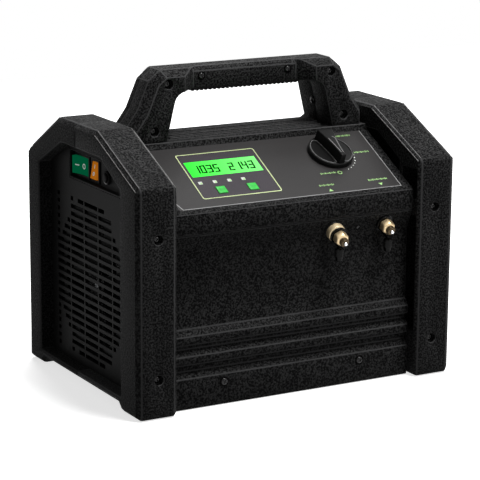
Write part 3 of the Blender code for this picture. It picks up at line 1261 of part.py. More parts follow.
def centre_depth():
    """Move everything so that the depth from port tip to rear face is centred."""
    length = 2 * GAP + COLLAR_LENGTH + TETHER_THICKNESS + NUT_LENGTH + THREAD_LENGTH + TIP_LENGTH
    base_y = LIP_Y + PORT_DOWN * sin(UNDERCUT_TILT)
    tip_y = base_y - length * cos(UNDERCUT_TILT) - TIP_RADIUS * TIP_TAPER * sin(UNDERCUT_TILT)
    for item in bpy.data.objects:
        if item.parent is None:
            item.location.y -= (tip_y + REAR_Y) / 2


def build():
    start_empty_scene()
    make_frames()
    make_side_panels()
    tray, floor_x = make_switch_tray()
    make_rocker_switch("power", POWER_SWITCH_Y, POWER_ROCKER, 0, ROCKER_TILT, "rocker_green",
                       tray, floor_x)
    make_rocker_switch("aux", AUX_SWITCH_Y, AUX_ROCKER, 90, -ROCKER_TILT, "rocker_amber",
                       tray, floor_x)
    make_breaker(tray, floor_x)
    front, rear = make_walls()
    housing, panel = make_control_housing()
    make_panel_pieces(panel)
    make_selector(panel)
    inlet = make_port("inlet", PORT_XS[0], front, True, CAP_REACHES[0])
    make_port("outlet", PORT_XS[1], front, False, CAP_REACHES[1])
    make_valve_block(inlet)
    make_handle()
    axis = guide("drive_axis", at(0, OPENING_MID_Y, AXIS_Z) @ ALONG_X)
    make_fan(axis)
    make_drive(axis)
    coil_start, coil_end = make_condenser()
    make_lines(coil_start, coil_end, panel, inlet)
    make_electrics(rear)
    centre_depth()


build()
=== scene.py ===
"""Finishes and fine pieces of a portable refrigerant recovery machine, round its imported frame.

Everything is in metres, in the frame's own axes: the machine stands on the XY plane, its
control panel faces -Y and its rocker switches are on the -X side. Each operator makes one
group of pieces, and main runs them in order.
"""
import json
from math import atan2, cos, pi, radians, sin

import bmesh
import bpy
from mathutils.bvhtree import BVHTree
from mathutils import Matrix, Vector


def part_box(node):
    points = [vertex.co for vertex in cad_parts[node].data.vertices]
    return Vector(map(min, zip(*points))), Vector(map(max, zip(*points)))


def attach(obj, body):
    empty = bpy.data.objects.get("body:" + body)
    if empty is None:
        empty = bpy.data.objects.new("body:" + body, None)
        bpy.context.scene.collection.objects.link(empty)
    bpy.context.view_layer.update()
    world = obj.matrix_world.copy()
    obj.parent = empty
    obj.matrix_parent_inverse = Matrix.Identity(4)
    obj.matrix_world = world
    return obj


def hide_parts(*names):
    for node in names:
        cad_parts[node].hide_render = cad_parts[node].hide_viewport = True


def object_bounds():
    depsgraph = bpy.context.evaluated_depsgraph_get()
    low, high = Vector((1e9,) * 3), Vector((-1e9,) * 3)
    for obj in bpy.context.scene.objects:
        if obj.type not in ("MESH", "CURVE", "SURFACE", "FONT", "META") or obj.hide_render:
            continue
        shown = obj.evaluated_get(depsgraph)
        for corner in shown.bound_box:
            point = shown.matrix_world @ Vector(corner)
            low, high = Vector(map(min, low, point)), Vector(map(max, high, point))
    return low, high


bl_info = {
    "name": "Refrigerant recovery machine",
    "version": (1, 0, 0),
    "blender": (4, 5, 0),
    "location": "View3D > Sidebar > Recovery machine",
    "description": "Dresses the packed frame of a portable refrigerant recovery machine",
    "category": "Object",
}

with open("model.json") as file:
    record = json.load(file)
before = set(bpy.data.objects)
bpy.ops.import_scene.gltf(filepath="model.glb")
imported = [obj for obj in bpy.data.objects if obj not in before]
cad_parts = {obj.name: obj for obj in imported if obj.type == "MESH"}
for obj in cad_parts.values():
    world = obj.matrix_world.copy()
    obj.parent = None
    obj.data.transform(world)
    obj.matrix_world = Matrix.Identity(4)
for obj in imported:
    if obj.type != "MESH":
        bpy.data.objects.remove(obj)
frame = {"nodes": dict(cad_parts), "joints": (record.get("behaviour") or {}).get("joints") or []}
CAD_LOW, CAD_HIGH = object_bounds()
NODES = frame["nodes"]
JOINTS = {joint["name"]: joint for joint in frame["joints"]}
MM = 0.001
FIXED = "machine"


def mm(*sizes):
    """Sizes given in millimetres, as metres and in the same groups."""
    return tuple(mm(*size) if isinstance(size, tuple) else size * MM for size in sizes)


# Control panel, in its own plane: x to the right, s up the slope, heights out of it
PANEL_KNOB = mm(82.0, 74.75)
OVERLAY_TOP = -0.2 * MM
OVERLAY_HALF_WIDTH, OVERLAY_LOW, OVERLAY_HIGH = mm(140.5, 7.8, 110.25)
BORDER_INSET = 0.6 * MM
PRINT_THICKNESS, PRINT_SINK = mm(0.08, 0.02)
DISPLAY_FRAME = mm(-104.4, 22.3, -7.5, 97.5)
LCD = mm(-100.5, 59, -12.3, 84.3)
DIGIT_GROUPS = (("1035", *mm(-93.4, 8.1)), ("2", *mm(-50.4, 7)), ("143", *mm(-41.6, 8.2)))
DIGIT_SIZE = mm(4.9, 11.6)
DIGIT_BAR = 0.4
DIGIT_LEAN = 0.09
DIGIT_FOOT = LCD[1] + 5.9 * MM
POINT_PLACES = mm(-73.2, -35.6)
LIT_BARS = {"0": "abcdef", "1": "bc", "2": "abged", "3": "abgcd", "4": "fgbc", "5": "afgcd"}
BAR_ENDS = {"a": (0, 2, 1, 2), "b": (1, 1, 1, 2), "c": (1, 0, 1, 1), "d": (0, 0, 1, 0),
            "e": (0, 0, 0, 1), "f": (0, 1, 0, 2), "g": (0, 1, 1, 1)}
LAMP_XS = mm(-96.3, -78.5, -60.5, -43.2)
LAMP_S, LAMP_HALF = mm(48.5, 2.3)
# Outline of the painted shade in each lamp's lower right corner, in shares of the lamp's half width
LAMP_PAINTED_SHADE = ((-0.5, -0.8), (0.8, -0.8), (0.8, 0.5), (0.25, 0.1), (-0.1, -0.25))
KEY_GAP, KEY_SLIT, KEY_TICK_PITCH = mm(0.2, 0.05, 1.35)
PORT_MARKS = ((*mm(50.4, 13.7), 1), (*mm(116.6, 14.8), -1))
TICK_ROWS = mm((103.6, 123.6, 103.7), (111.3, 131.5, 72.4), (53, 72, 42.2), (41, 58.5, 22.8),
               (105, 128.5, 23.1))
TICK_PITCH, TICK_HEIGHT = mm(1.75, 2.9)
FLAT_THICKNESS = 0.15 * MM
RING_MARK = mm(77, 41.1)
SCALE_CENTRE = mm(80.5, 73.3)
SCALE_RADIUS = 29.8 * MM
SCALE_START, SCALE_STOP = -70, -8

# Knob
KNOB_RADIUS, KNOB_GAP, KNOB_SKIRT = mm(26.8, 0.3, 5.5)
GRIP_HEIGHT, GRIP_TAIL_WIDTH, GRIP_TIP_WIDTH = mm(12, 20, 6.5)
GRIP_REACH = KNOB_RADIUS - 1.8 * MM
SKIRT_TOP = KNOB_GAP + KNOB_SKIRT

# Ports and caps, each with its radius and its length along the port's axis
COLLAR = mm(12, 10.5)
TETHER = mm(9.9, 2.3)
NUT = mm(8.5, 9.9)
THREAD = mm(5.2, 5)
TIP = mm(2.3, 3)
CAP = mm(5.5, 15)
CAP_RIBS = 16
STRAP_REACHES = {"inlet": 8 * MM, "outlet": 13 * MM}
GAP, COLLAR_BASE, SHANK_RADIUS, SHANK_DEPTH = mm(0.3, 2.4, 5, 3.1)
STRAP_RADIUS, STRAP_CLEARANCE = mm(0.9, 2.5)
THREAD_PITCH, THREAD_WIRE = mm(0.95, 0.3)

# Rockers: half length, half width and rise of the ends, direction along the face, axis and
# angle of the lean, colour
ROCKERS = {"power": (*mm(15, 10, 3.2), (0, 1, 0), (0, 0, 1), 10, "green"),
           "aux": (*mm(9.5, 7, 1.4), (0, 0, 1), (0, -1, 0), -10, "amber")}
MARK_WIDTH, ROCKER_DIP, ROCKER_DEPTH = mm(1.3, 1.1, 2.5)

# Screws
HEAD_RADIUS, HEAD_HEIGHT, WELL_RADIUS = mm(4.6, 2.6, 6.2)
LEG_SCREW = mm(100.2, 12.5, 302.3)
LEG_SCREW_FACING = (-0.973, 0, -0.232)
SCREW_NODES = tuple(f"{side}_{place}_screw_{level}" for side in ("left", "right")
                    for place in ("frame", "leg") for level in ("high", "low"))
LOOSE_SCREWS = (("handle_front", *mm(-55.5, 344), 0.8), ("handle_front", *mm(55.5, 344), 0.8),
                ("front_panel", *mm(-87, 26.5), 0.9), ("front_panel", *mm(87, 26.5), 0.9),
                ("front_panel", *mm(83, 180), 0.55))

# Finger ribs under the grip bar, and the raised lines on the frames' slopes in (y, z)
GRIP_UNDERSIDE, GRIP_RIB_SINK = mm(330.5, 0.3)
GRIP_RIB_REACH, GRIP_RIB_PITCH, GRIP_RIB_RADIUS, GRIP_RIB_LENGTH = mm(77, 5.5, 2.7, 30)
SLOPES = mm(((-130, 253.9), (-33, 298.0)), ((64, 297.8), (139, 254.05)))
# x and drop of the raised lines along the chamfer edges, whose pale tone is a painted highlight
EDGE_LINES = mm((199.4, 4.35), (195.4, 0.1), (155.6, 0.1), (152.6, 3.25))
EDGE_LINE_RADIUS = 0.5 * MM

# Stage, with a camera that matches the photograph's viewing angle
CAMERA_PLACE = (-1.15626, -2.04389, 0.71283)
CAMERA_YAW, CAMERA_PITCH, CAMERA_ROLL = 29.468, 13.485, 0.437
CAMERA_LENS, SENSOR_WIDTH = 158.55, 36
LAMPS = (("key_lamp", (0.5, -0.7, 2.4), (0, 0, 0.2), 0.9, 66),
         ("fill_lamp", (1.1, -2.6, 1.3), (0, 0, 0.2), 0.7, 11),
         ("rim_lamp", (0.4, 1.3, 2.2), (0, 0, 0.25), 0.9, 36))
# Floor: half its side, its glow near and far and where that change starts and stops, and its
# tone for the light that it throws back and as it is seen
FLOOR_REACH = 2.0
FLOOR_FADE = (0.70, 1.0, 0.6, 1.6)
FLOOR_DARK, FLOOR_PALE = 0.16, 0.82
WORLD_FILL = 0.09

# Roundings in millimetres
SHELL_NODES = {
    "left_frame_front": 1.8, "left_frame_rear": 1.8, "right_frame_front": 1.8,
    "right_frame_rear": 1.8, "handle_front": 1.5, "handle_rear": 1.5,
    "control_housing": 1.4, "front_panel": 1.4, "rear_panel": 1.4,
}
TRIM_NODES = {
    "switch_tray": 0.6, "power_switch_body": 0.4, "aux_switch_body": 0.4, "breaker_body": 0.4,
    "breaker_button": 0.4, "power_inlet": 0.5, "fan_shroud": 0.8,
}

# Share of the room at an edge that its rounding takes, and the least share of the full width
# at which an edge is rounded at all
ROUNDING_SHARE = 0.42
LEAST_ROUNDING = 0.45

# Points closer than this are merged, flatter angles than this in degrees are dissolved and
# sharper ones are rounded. Limits for mitres and for edges that run the same way, as cosines
MERGE_DISTANCE, CAD_MERGE_DISTANCE = 1e-6, 3e-6
FLAT_ANGLE, SHARP_ANGLE = 0.6, 25
LEAST_MITRE, SAME_WAY = 0.4, 0.8

# Nodes that keep their CAD mesh, by finish
KEPT_FINISHES = {
    "overlay_film": ("control_overlay",),
    "moulded_black": ("left_grille", "right_grille"),
    "fan_black": ("fan_rotor",),
    "copper_tube": ("suction_line", "discharge_line", "liquid_line"),
    "cast_aluminium": ("condenser", "crankcase", "front_cylinder", "rear_cylinder", "valve_block"),
    "zinc_plate": ("base_plate", "motor_cradle", "drive_shaft", "valve_stem"),
    "machined_brass": ("valve_body", "pressure_switch"),
    "motor_paint": ("motor_housing",),
    "circuit_board": ("control_board", "power_board"),
    "soft_rubber": ("left_foot_front", "left_foot_rear", "right_foot_front", "right_foot_rear"),
}

# Finishes: darker and lighter tone, (grain, its depth, wear), (least, most) roughness, and
# where they aren't the usual, specular level, metallic and the lighter tone of roundings, a painted
# highlight
FINISHES = {
    # moulded_black's last value is the lighter tone of its roundings, a painted highlight
    "moulded_black": (0.004, 0.010, mm(0.8, 0.05, 50), (0.4, 0.55), 0.02, 0, 0.03),
    # The next finish is the near black painted shade of screw wells and the breaker ring
    "well_shade_black": (0.001, 0.002, mm(0.5, 0.02, 20), (0.5, 0.6), 0.02),
    # The next finish is the pale painted highlight of the lines along the frames' edges
    "edge_highlight_grey": (0.10, (0.22, 0.22, 0.215), mm(1.6, 0.05, 20), (0.4, 0.6), 0.1),
    "fan_black": (0.004, 0.008, mm(0.5, 0.03, 50), (0.45, 0.6), 0.1),
    "overlay_film": ((0.026, 0.025, 0.025), (0.034, 0.032, 0.032), mm(0.4, 0.01, 120),
                     (0.30, 0.38), 0.18),
    "display_band": ((0.036, 0.031, 0.037), (0.058, 0.050, 0.060), mm(0.4, 0.01, 60),
                     (0.2, 0.3), 0.2),
    # The next finish is the pale painted highlight on the knob's skirt rims
    "knob_rim_highlight": (0.10, 0.17, mm(0.6, 0.01, 10), (0.3, 0.4), 0.2),
    "knob_black": (0.003, 0.007, mm(0.4, 0.015, 20), (0.28, 0.38), 0.12),
    "soft_rubber": (0.004, 0.009, mm(0.5, 0.02, 20), (0.3, 0.42), 0.25),
    "gloss_rubber": (0.002, 0.005, mm(0.5, 0.01, 20), (0.16, 0.24), 0.08),
    "screw_black": (0.002, 0.005, mm(0.6, 0.01, 8), (0.12, 0.2), 0.25),
    "machined_brass": ((0.62, 0.47, 0.27), (0.80, 0.62, 0.38), mm(0.5, 0.01, 12),
                       (0.34, 0.46), 0.5, 0.85),
    "matt_brass": ((0.58, 0.46, 0.28), (0.72, 0.58, 0.37), mm(0.5, 0.01, 12), (0.42, 0.55),
                   0.5, 0.55),
    # The next finish is brass darkened as painted shade, for the threaded ends of the ports
    "brass_painted_shade": ((0.05, 0.035, 0.018), (0.10, 0.07, 0.035), mm(0.5, 0.01, 12), (0.3, 0.45),
                   0.5, 0.8),
    "steel_bright": ((0.60, 0.60, 0.61), (0.82, 0.82, 0.83), mm(0.4, 0.01, 8), (0.15, 0.28),
                     0.5, 1),
    "copper_tube": ((0.62, 0.28, 0.16), (0.84, 0.45, 0.30), mm(1.5, 0.02, 30), (0.25, 0.42),
                    0.5, 1),
    "cast_aluminium": ((0.52, 0.53, 0.54), (0.72, 0.73, 0.74), mm(0.9, 0.06, 40),
                       (0.35, 0.55), 0.5, 1),
    "zinc_plate": ((0.45, 0.46, 0.48), (0.62, 0.63, 0.65), mm(2.5, 0.02, 50), (0.28, 0.45),
                   0.5, 1),
    "motor_paint": ((0.018, 0.018, 0.02), (0.03, 0.03, 0.033), mm(0.8, 0.04, 40), (0.3, 0.45)),
    "circuit_board": ((0.012, 0.11, 0.045), (0.02, 0.17, 0.07), mm(1.2, 0.02, 20), (0.3, 0.45)),
    "lit_green": ((0.0, 0.115, 0.045), (0.0, 0.15, 0.062), mm(1.2, 0.005, 9), (0.3, 0.4), 0),
    "lit_amber": ((0.80, 0.22, 0.006), (1.0, 0.33, 0.015), mm(1.2, 0.005, 9), (0.3, 0.4), 0),
    "rocker_mark": ((0.62, 0.72, 0.66), (0.72, 0.82, 0.76), mm(0.6, 0.005, 9), (0.4, 0.5), 0),
    "key_film": ((0.035, 0.48, 0.06), (0.06, 0.60, 0.09), mm(0.6, 0.01, 6), (0.32, 0.42), 0.15),
    "key_mark": ((0.02, 0.20, 0.03), (0.03, 0.27, 0.045), mm(0.6, 0.005, 6), (0.4, 0.5)),
    "frame_line": ((0.46, 0.56, 0.26), (0.58, 0.68, 0.34), mm(0.5, 0.005, 20), (0.4, 0.5)),
    # The next finish serves the printed border and the painted highlights on the knob and breaker
    # ring
    "print_and_highlight_grey": (0.17, 0.25, mm(0.5, 0.005, 15), (0.35, 0.45)),
    "print_white": ((0.55, 0.57, 0.54), (0.68, 0.70, 0.66), mm(0.5, 0.005, 9), (0.4, 0.5)),
    "digit_dark": ((0.001, 0.018, 0.003), (0.003, 0.03, 0.006), mm(0.6, 0.002, 9), (0.3, 0.4), 0),
}
# Tone and strength of the light that some finishes give off
GLOWS = {
    "lit_green": ((0.0, 0.17, 0.065), 0.35),
    "lit_amber": ((1.0, 0.30, 0.018), 0.25),
    "rocker_mark": ((0.7, 0.8, 0.75), 0.3),
}


# Meshes

def seat(point, facing, right=(1, 0, 0)):
    """Matrix at a point whose local Z faces out and whose local X runs to the right."""
    out = Vector(facing).normalized()
    up = out.cross(Vector(right)).normalized()
    turn = Matrix((up.cross(out), up, out)).transposed()
    return Matrix.Translation(point) @ turn.to_4x4()


def joint_seat(name):
    """Seat on a joint's axis."""
    return seat(JOINTS[name]["pos_m"], JOINTS[name]["axis"])


def new_object(name, mesh):
    """Object at the origin that carries the mesh."""
    made = bpy.data.objects.new(name, mesh)
    bpy.context.scene.collection.objects.link(made)
    return made


def from_bmesh(name, shape):
    """Object from a bmesh, with its faces turned outwards."""
    bmesh.ops.remove_doubles(shape, verts=shape.verts, dist=MERGE_DISTANCE)
    bmesh.ops.recalc_face_normals(shape, faces=shape.faces)
    mesh = bpy.data.meshes.new(name)
    shape.to_mesh(mesh)
    shape.free()
    return new_object(name, mesh)


def skin(shape, rings, closed=False):
    """Surface over rings of points or single poles, closed on itself or with a face on each end."""
    for a, b in zip(rings, rings[1:] + rings[:1] if closed else rings[1:]):
        steps = max(len(a), len(b))
        for i in range(steps):
            k = (i + 1) % steps
            corners = [a[i % len(a)], a[k % len(a)], b[k % len(b)], b[i % len(b)]]
            corners = list(dict.fromkeys(corners))
            if len(corners) > 2:
                shape.faces.new(corners)
    for end in () if closed else (rings[0][::-1], rings[-1]):
        if len(end) > 2:
            shape.faces.new(end)


def stack(shape, layers, place):
    """Closed solid over layers of (outline, height), added to the bmesh."""
    skin(shape, [[shape.verts.new(place @ Vector((x, y, height))) for x, y in outline]
                 for outline, height in layers])


def prism(shape, outline, low, high, place):
    """Closed prism over a flat outline of (x, y) points."""
    stack(shape, [(outline, low), (outline, high)], place)


def lathe(shape, profile, place, steps):
    """Solid of revolution about local Z over a profile of (radius, height) points."""
    rings = [[shape.verts.new(place @ Vector((x, y, height)))
              for x, y in ring_points(radius, steps)[:steps if radius else 1]]
             for radius, height in profile]
    skin(shape, rings, closed=profile[0][0] > 0)


def tube(shape, points, radius, steps=12):
    """Round tube with closed ends through a list of points."""
    rings = []
    side = Vector((1, 0, 0))
    for i, point in enumerate(points):
        ahead = points[min(i + 1, len(points) - 1)] - points[max(i - 1, 0)]
        up = ahead.normalized().cross(side).normalized()
        side = up.cross(ahead.normalized()).normalized()
        rings.append([shape.verts.new(point + radius * (cos(2 * pi * k / steps) * side
                                                        + sin(2 * pi * k / steps) * up))
                      for k in range(steps)])
    skin(shape, rings)


def rounded_profile(points, radius, steps=4):
    """Profile of (radius, height) points with its inner corners rounded."""
    made = [points[0]]
    for a, b, c in zip(points, points[1:], points[2:]):
        corner, before, after = Vector(b), Vector(a), Vector(c)
        reach = min(radius, (before - corner).length / 2.01, (after - corner).length / 2.01)
        start = corner + (before - corner).normalized() * reach
        stop = corner + (after - corner).normalized() * reach
        for i in range(steps + 1):
            t = i / steps
            made.append(tuple((1 - t) ** 2 * start + 2 * t * (1 - t) * corner + t ** 2 * stop))
    made.append(points[-1])
    return made


def rounded_outline(outline, radius):
    """Closed outline with each corner rounded."""
    return rounded_profile([outline[-1], *outline, outline[0]], radius)[1:-1]


def rectangle(low_x, low_y, high_x, high_y):
    """Outline of an upright rectangle."""
    return [(low_x, low_y), (high_x, low_y), (high_x, high_y), (low_x, high_y)]


def ring_points(radius, steps, centre=(0.0, 0.0), start=0.0, stop=2 * pi):
    """Points on an arc round a centre, the last one left out on a full turn."""
    full = abs(stop - start - 2 * pi) < 1e-6
    count = steps if full else steps + 1
    return [(centre[0] + radius * cos(start + (stop - start) * i / steps),
             centre[1] + radius * sin(start + (stop - start) * i / steps))
            for i in range(count)]


def shifted(path, distance, closed):
    """Path moved sideways by a distance, with its corners mitred."""
    made = []
    count = len(path)
    for i, point in enumerate(path):
        here = Vector(point)
        ways = []
        if closed or i > 0:
            ways.append((here - Vector(path[i - 1])).normalized())
        if closed or i < count - 1:
            ways.append((Vector(path[(i + 1) % count]) - here).normalized())
        normals = [Vector((-way.y, way.x)) for way in ways]
        middle = sum(normals, Vector((0, 0))).normalized()
        made.append(tuple(here + middle * distance / max(middle.dot(normals[0]), LEAST_MITRE)))
    return made


def ribbon(shape, path, width, low, high, place, closed=False, rise=None):
    """Thin raised line along a path, which may rise with x to follow a curved face."""
    left, right = (shifted(path, way * width / 2, closed) for way in (1, -1))
    rings = [[shape.verts.new(place @ Vector((x, y, z + (rise(x) if rise else 0))))
              for (x, y), z in ((p, high), (q, high), (q, low), (p, low))]
             for p, q in zip(left, right)]
    skin(shape, rings, closed)


def finish_piece(made, finish, body=FIXED, replaced=(), slot=None, angle=32):
    """Material, shading, body and replaced nodes of a piece; the slot argument is not used."""
    made.data.materials.clear()
    made.data.materials.append(bpy.data.materials[finish])
    made.data.shade_smooth()
    made.data.set_sharp_from_angle(angle=radians(angle))
    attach(made, body)
    if replaced:
        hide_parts(*replaced)


def piece(name, shape, finish, **more):
    """Finished piece from a bmesh."""
    finish_piece(from_bmesh(name, shape), finish, **more)


def turned_piece(name, profile, place, finish, steps, rounding=0, corner_steps=3, **more):
    """Finished piece of revolution, with its profile's corners rounded."""
    if rounding:
        profile = rounded_profile(profile, rounding, corner_steps)
    shape = bmesh.new()
    lathe(shape, profile, place, steps)
    piece(name, shape, finish, **more)


def apply_modifiers(made):
    """Turn the evaluated object into its plain mesh."""
    graph = bpy.context.evaluated_depsgraph_get()
    plain = bpy.data.meshes.new_from_object(made.evaluated_get(graph))
    made.modifiers.clear()
    made.data = plain
    plain.name = made.name
    return made


def gap_between(edge, other):
    """Shortest distance from three points of one edge to another edge."""
    a, b = (vertex.co for vertex in edge.verts)
    c, d = (vertex.co for vertex in other.verts)
    along = d - c
    span = max(along.length_squared, 1e-18)
    return min((point - (c + along * min(max((point - c).dot(along) / span, 0), 1))).length
               for point in (a, (a + b) / 2, b))


def rounding_room(edge, width):
    """Widest rounding, up to a width, that stays clear of the other edges of its faces."""
    room = width
    ends = set(edge.verts)
    way = (edge.verts[1].co - edge.verts[0].co).normalized()
    for face in edge.link_faces:
        for other in face.edges:
            if other is edge:
                continue
            if not ends & set(other.verts):
                room = min(room, ROUNDING_SHARE * gap_between(edge, other))
                continue
            turn = (other.verts[1].co - other.verts[0].co).normalized()
            if abs(turn.dot(way)) < SAME_WAY:
                room = min(room, ROUNDING_SHARE * other.calc_length())
    return room


def bevel(made, width, segments, limit):
    """Round the edges of a piece that turn by more than the limit, where there is room."""
    shape = bmesh.new()
    shape.from_mesh(made.data)
    weights = shape.edges.layers.float.new("bevel_weight_edge")
    for edge in shape.edges:
        if len(edge.link_faces) == 2 and edge.calc_face_angle() > radians(limit):
            share = rounding_room(edge, width) / width
            edge[weights] = share if share > LEAST_ROUNDING else 0
    shape.to_mesh(made.data)
    shape.free()
    for _ in range(2):
        made.data.materials.append(None)
    modifier = made.modifiers.new("rounding", "BEVEL")
    modifier.width = width
    modifier.segments = segments
    modifier.limit_method = "WEIGHT"
    modifier.use_clamp_overlap = False
    modifier.material = 1
    apply_modifiers(made)
    mark_edges(made.data)
    return made


def mark_edges(mesh):
    """Store which points lie only on a rounding, for the smoother edges and the painted edge
    highlight of the finish.
    """
    flat = set()
    for face in mesh.polygons:
        if face.material_index == 0:
            flat.update(face.vertices)
        face.material_index = 0
    layer = mesh.attributes.new("edge", "FLOAT", "POINT")
    layer.data.foreach_set("value", [float(i not in flat) for i in range(len(mesh.vertices))])


def rounded_copy(name, width):
    """Merged copy of a CAD node with its sharp edges rounded."""
    shape = bmesh.new()
    shape.from_mesh(NODES[name].data)
    bmesh.ops.remove_doubles(shape, verts=shape.verts, dist=CAD_MERGE_DISTANCE)
    bmesh.ops.dissolve_limit(shape, angle_limit=radians(FLAT_ANGLE), verts=shape.verts,
                             edges=shape.edges, use_dissolve_boundaries=False)
    return bevel(from_bmesh(f"{name}_shell", shape), width, 2, SHARP_ANGLE)


# Nodes

def node(tree, kind, feeds=None, **values):
    """Node with its properties set, and its inputs linked to sockets or set to values."""
    made = tree.nodes.new(kind)
    for key, value in values.items():
        setattr(made, key, value)
    for key, value in (feeds or {}).items():
        if isinstance(value, bpy.types.NodeSocket):
            tree.links.new(value, made.inputs[key])
        else:
            made.inputs[key].default_value = value
    return made


def computed(tree, operation, *values):
    """Socket of a sum on sockets and numbers."""
    return node(tree, "ShaderNodeMath", dict(enumerate(values)), operation=operation).outputs[0]


def scaled(tree, size, factor):
    """Socket of a size times a factor."""
    return computed(tree, "MULTIPLY", size, factor)


def vector(tree, *values):
    """Socket of a vector from sockets and numbers."""
    return node(tree, "ShaderNodeCombineXYZ", dict(enumerate(values))).outputs["Vector"]


def ranged(tree, source, low, high, start=0.0, stop=1.0):
    """Socket that runs from low to high while the source runs from start to stop."""
    return node(tree, "ShaderNodeMapRange", {
        "Value": source, "From Min": start, "From Max": stop, "To Min": low, "To Max": high,
    }).outputs["Result"]


# Materials

def colour(tone):
    """Colour with its alpha, from a grey or a colour."""
    return (tone, tone, tone, 1) if isinstance(tone, (int, float)) else (*tone, 1)


def new_material(name):
    """Tree of a new material, and its Principled shader."""
    made = bpy.data.materials.new(name)
    made.use_nodes = True
    return made.node_tree, made.node_tree.nodes["Principled BSDF"]


def colour_ramp(tree, source, *stops):
    """Colour that a socket picks between two (position, tone) stops."""
    made = node(tree, "ShaderNodeValToRGB", {"Fac": source})
    for element, (position, tone) in zip(made.color_ramp.elements, stops):
        element.position = position
        element.color = colour(tone)
    return made.outputs["Color"]


def noise(tree, size, detail=2.0, rough=0.5):
    """Noise on Object coordinates whose grains are about the given size in metres."""
    where = node(tree, "ShaderNodeTexCoord").outputs["Object"]
    return node(tree, "ShaderNodeTexNoise", {"Vector": where, "Scale": 1 / size, "Detail": detail,
                                             "Roughness": rough}).outputs["Fac"]


def colour_mix(tree, factor, first, second, **values):
    """Mix of two colours."""
    return node(tree, "ShaderNodeMix", {"Factor": factor, "A": first, "B": second},
                data_type="RGBA", **values).outputs["Result"]


def grained(name, dark, light, lengths, roughness, specular=0.5, metallic=0.0, edge=None,
            spread=(0.35, 0.65)):
    """Finish whose colour, roughness and bump follow one grain, with slow wear over it.

    The lengths are those of the grain, its depth and the wear. With an edge tone, the
    roundings are smoother and take that lighter tone as a painted highlight.
    """
    tree, shader = new_material(name)
    size, depth, wear = lengths
    least, most = roughness
    grain = noise(tree, size, 2.5, 0.55)
    shades = colour_ramp(tree, grain, (spread[0], dark), (spread[1], light))
    tone = colour_ramp(tree, noise(tree, wear), (0.3, 0.82), (0.7, 1.0))
    surface = colour_mix(tree, 1.0, shades, tone, blend_type="MULTIPLY")
    bump = node(tree, "ShaderNodeBump", {"Distance": depth, "Height": grain})
    # Roundings get a weaker bump, which is real smoothness, and a lighter tone, which is painted
    # highlight
    if edge:
        rounding_highlight = node(tree, "ShaderNodeAttribute", attribute_name="edge").outputs["Fac"]
        surface = colour_mix(tree, rounding_highlight, surface, colour(edge))
        tree.links.new(ranged(tree, rounding_highlight, 1.0, 0.25), bump.inputs["Strength"])
    shader.inputs["Metallic"].default_value = metallic
    shader.inputs["Specular IOR Level"].default_value = specular
    tree.links.new(surface, shader.inputs["Base Color"])
    tree.links.new(ranged(tree, grain, most, least), shader.inputs["Roughness"])
    tree.links.new(bump.outputs["Normal"], shader.inputs["Normal"])


def glowing(name, tone, strength):
    """Let a finish give off light of its own."""
    shader = bpy.data.materials[name].node_tree.nodes["Principled BSDF"]
    shader.inputs["Emission Color"].default_value = colour(tone)
    shader.inputs["Emission Strength"].default_value = strength


def fading(name, start_tone, stop_tone, start, stop):
    """Let a finish's colour and its glow change along X."""
    tree = bpy.data.materials[name].node_tree
    where = node(tree, "ShaderNodeTexCoord").outputs["Object"]
    along = node(tree, "ShaderNodeSeparateXYZ", {"Vector": where}).outputs["X"]
    share = ranged(tree, along, 0.0, 1.0, start, stop)
    tone = colour_ramp(tree, share, (0.0, start_tone), (1.0, stop_tone))
    for name in ("Base Color", "Emission Color"):
        tree.links.new(tone, tree.nodes["Principled BSDF"].inputs[name])


class RecoveryMachineSettings(bpy.types.PropertyGroup):
    """Sizes and colours that a user may change before the pieces are made."""
    grain_size: bpy.props.FloatProperty(
        name="Pebble size", description="Size of one pebble of the moulded shells",
        default=2.0 * MM, unit="LENGTH", precision=5)
    grain_depth: bpy.props.FloatProperty(
        name="Pebble depth", description="Depth of the pebble grain",
        default=0.55 * MM, unit="LENGTH", precision=5)
    shell_dark: bpy.props.FloatVectorProperty(
        name="Shell colour, valleys", description="Darker tone of the shells",
        subtype="COLOR", default=(0.0035, 0.0035, 0.0036))
    shell_light: bpy.props.FloatVectorProperty(
        name="Shell colour, tops", description="Lighter tone of the shells",
        subtype="COLOR", default=(0.042, 0.042, 0.0422))
    # The shells' roundings take this lighter tone as a painted highlight, besides being smoother
    shell_edge_highlight: bpy.props.FloatVectorProperty(
        name="Shell colour, edges", description="Rubbed tone of the shells' roundings",
        subtype="COLOR", default=(0.062, 0.062, 0.063))
    # The print colour also paints the shade in the lamps' corners
    print_and_shade_green: bpy.props.FloatVectorProperty(
        name="Print colour", description="Marks and display frame on the control panel",
        subtype="COLOR", default=(0.36, 0.66, 0.22))
    lcd_green: bpy.props.FloatVectorProperty(
        name="Display colour", description="Lit face of the display",
        subtype="COLOR", default=(0.022, 0.82, 0.03))
    lcd_pale: bpy.props.FloatVectorProperty(
        name="Display colour, pale end", description="Lit face of the display at its right end",
        subtype="COLOR", default=(0.15, 0.80, 0.15))
    head_radius: bpy.props.FloatProperty(
        name="Screw head radius", description="Radius of the large screw heads",
        default=HEAD_RADIUS, unit="LENGTH", precision=5)
    dot_count: bpy.props.IntProperty(
        name="Scale dots", description="Dots on the selector's scale", default=7, min=3)


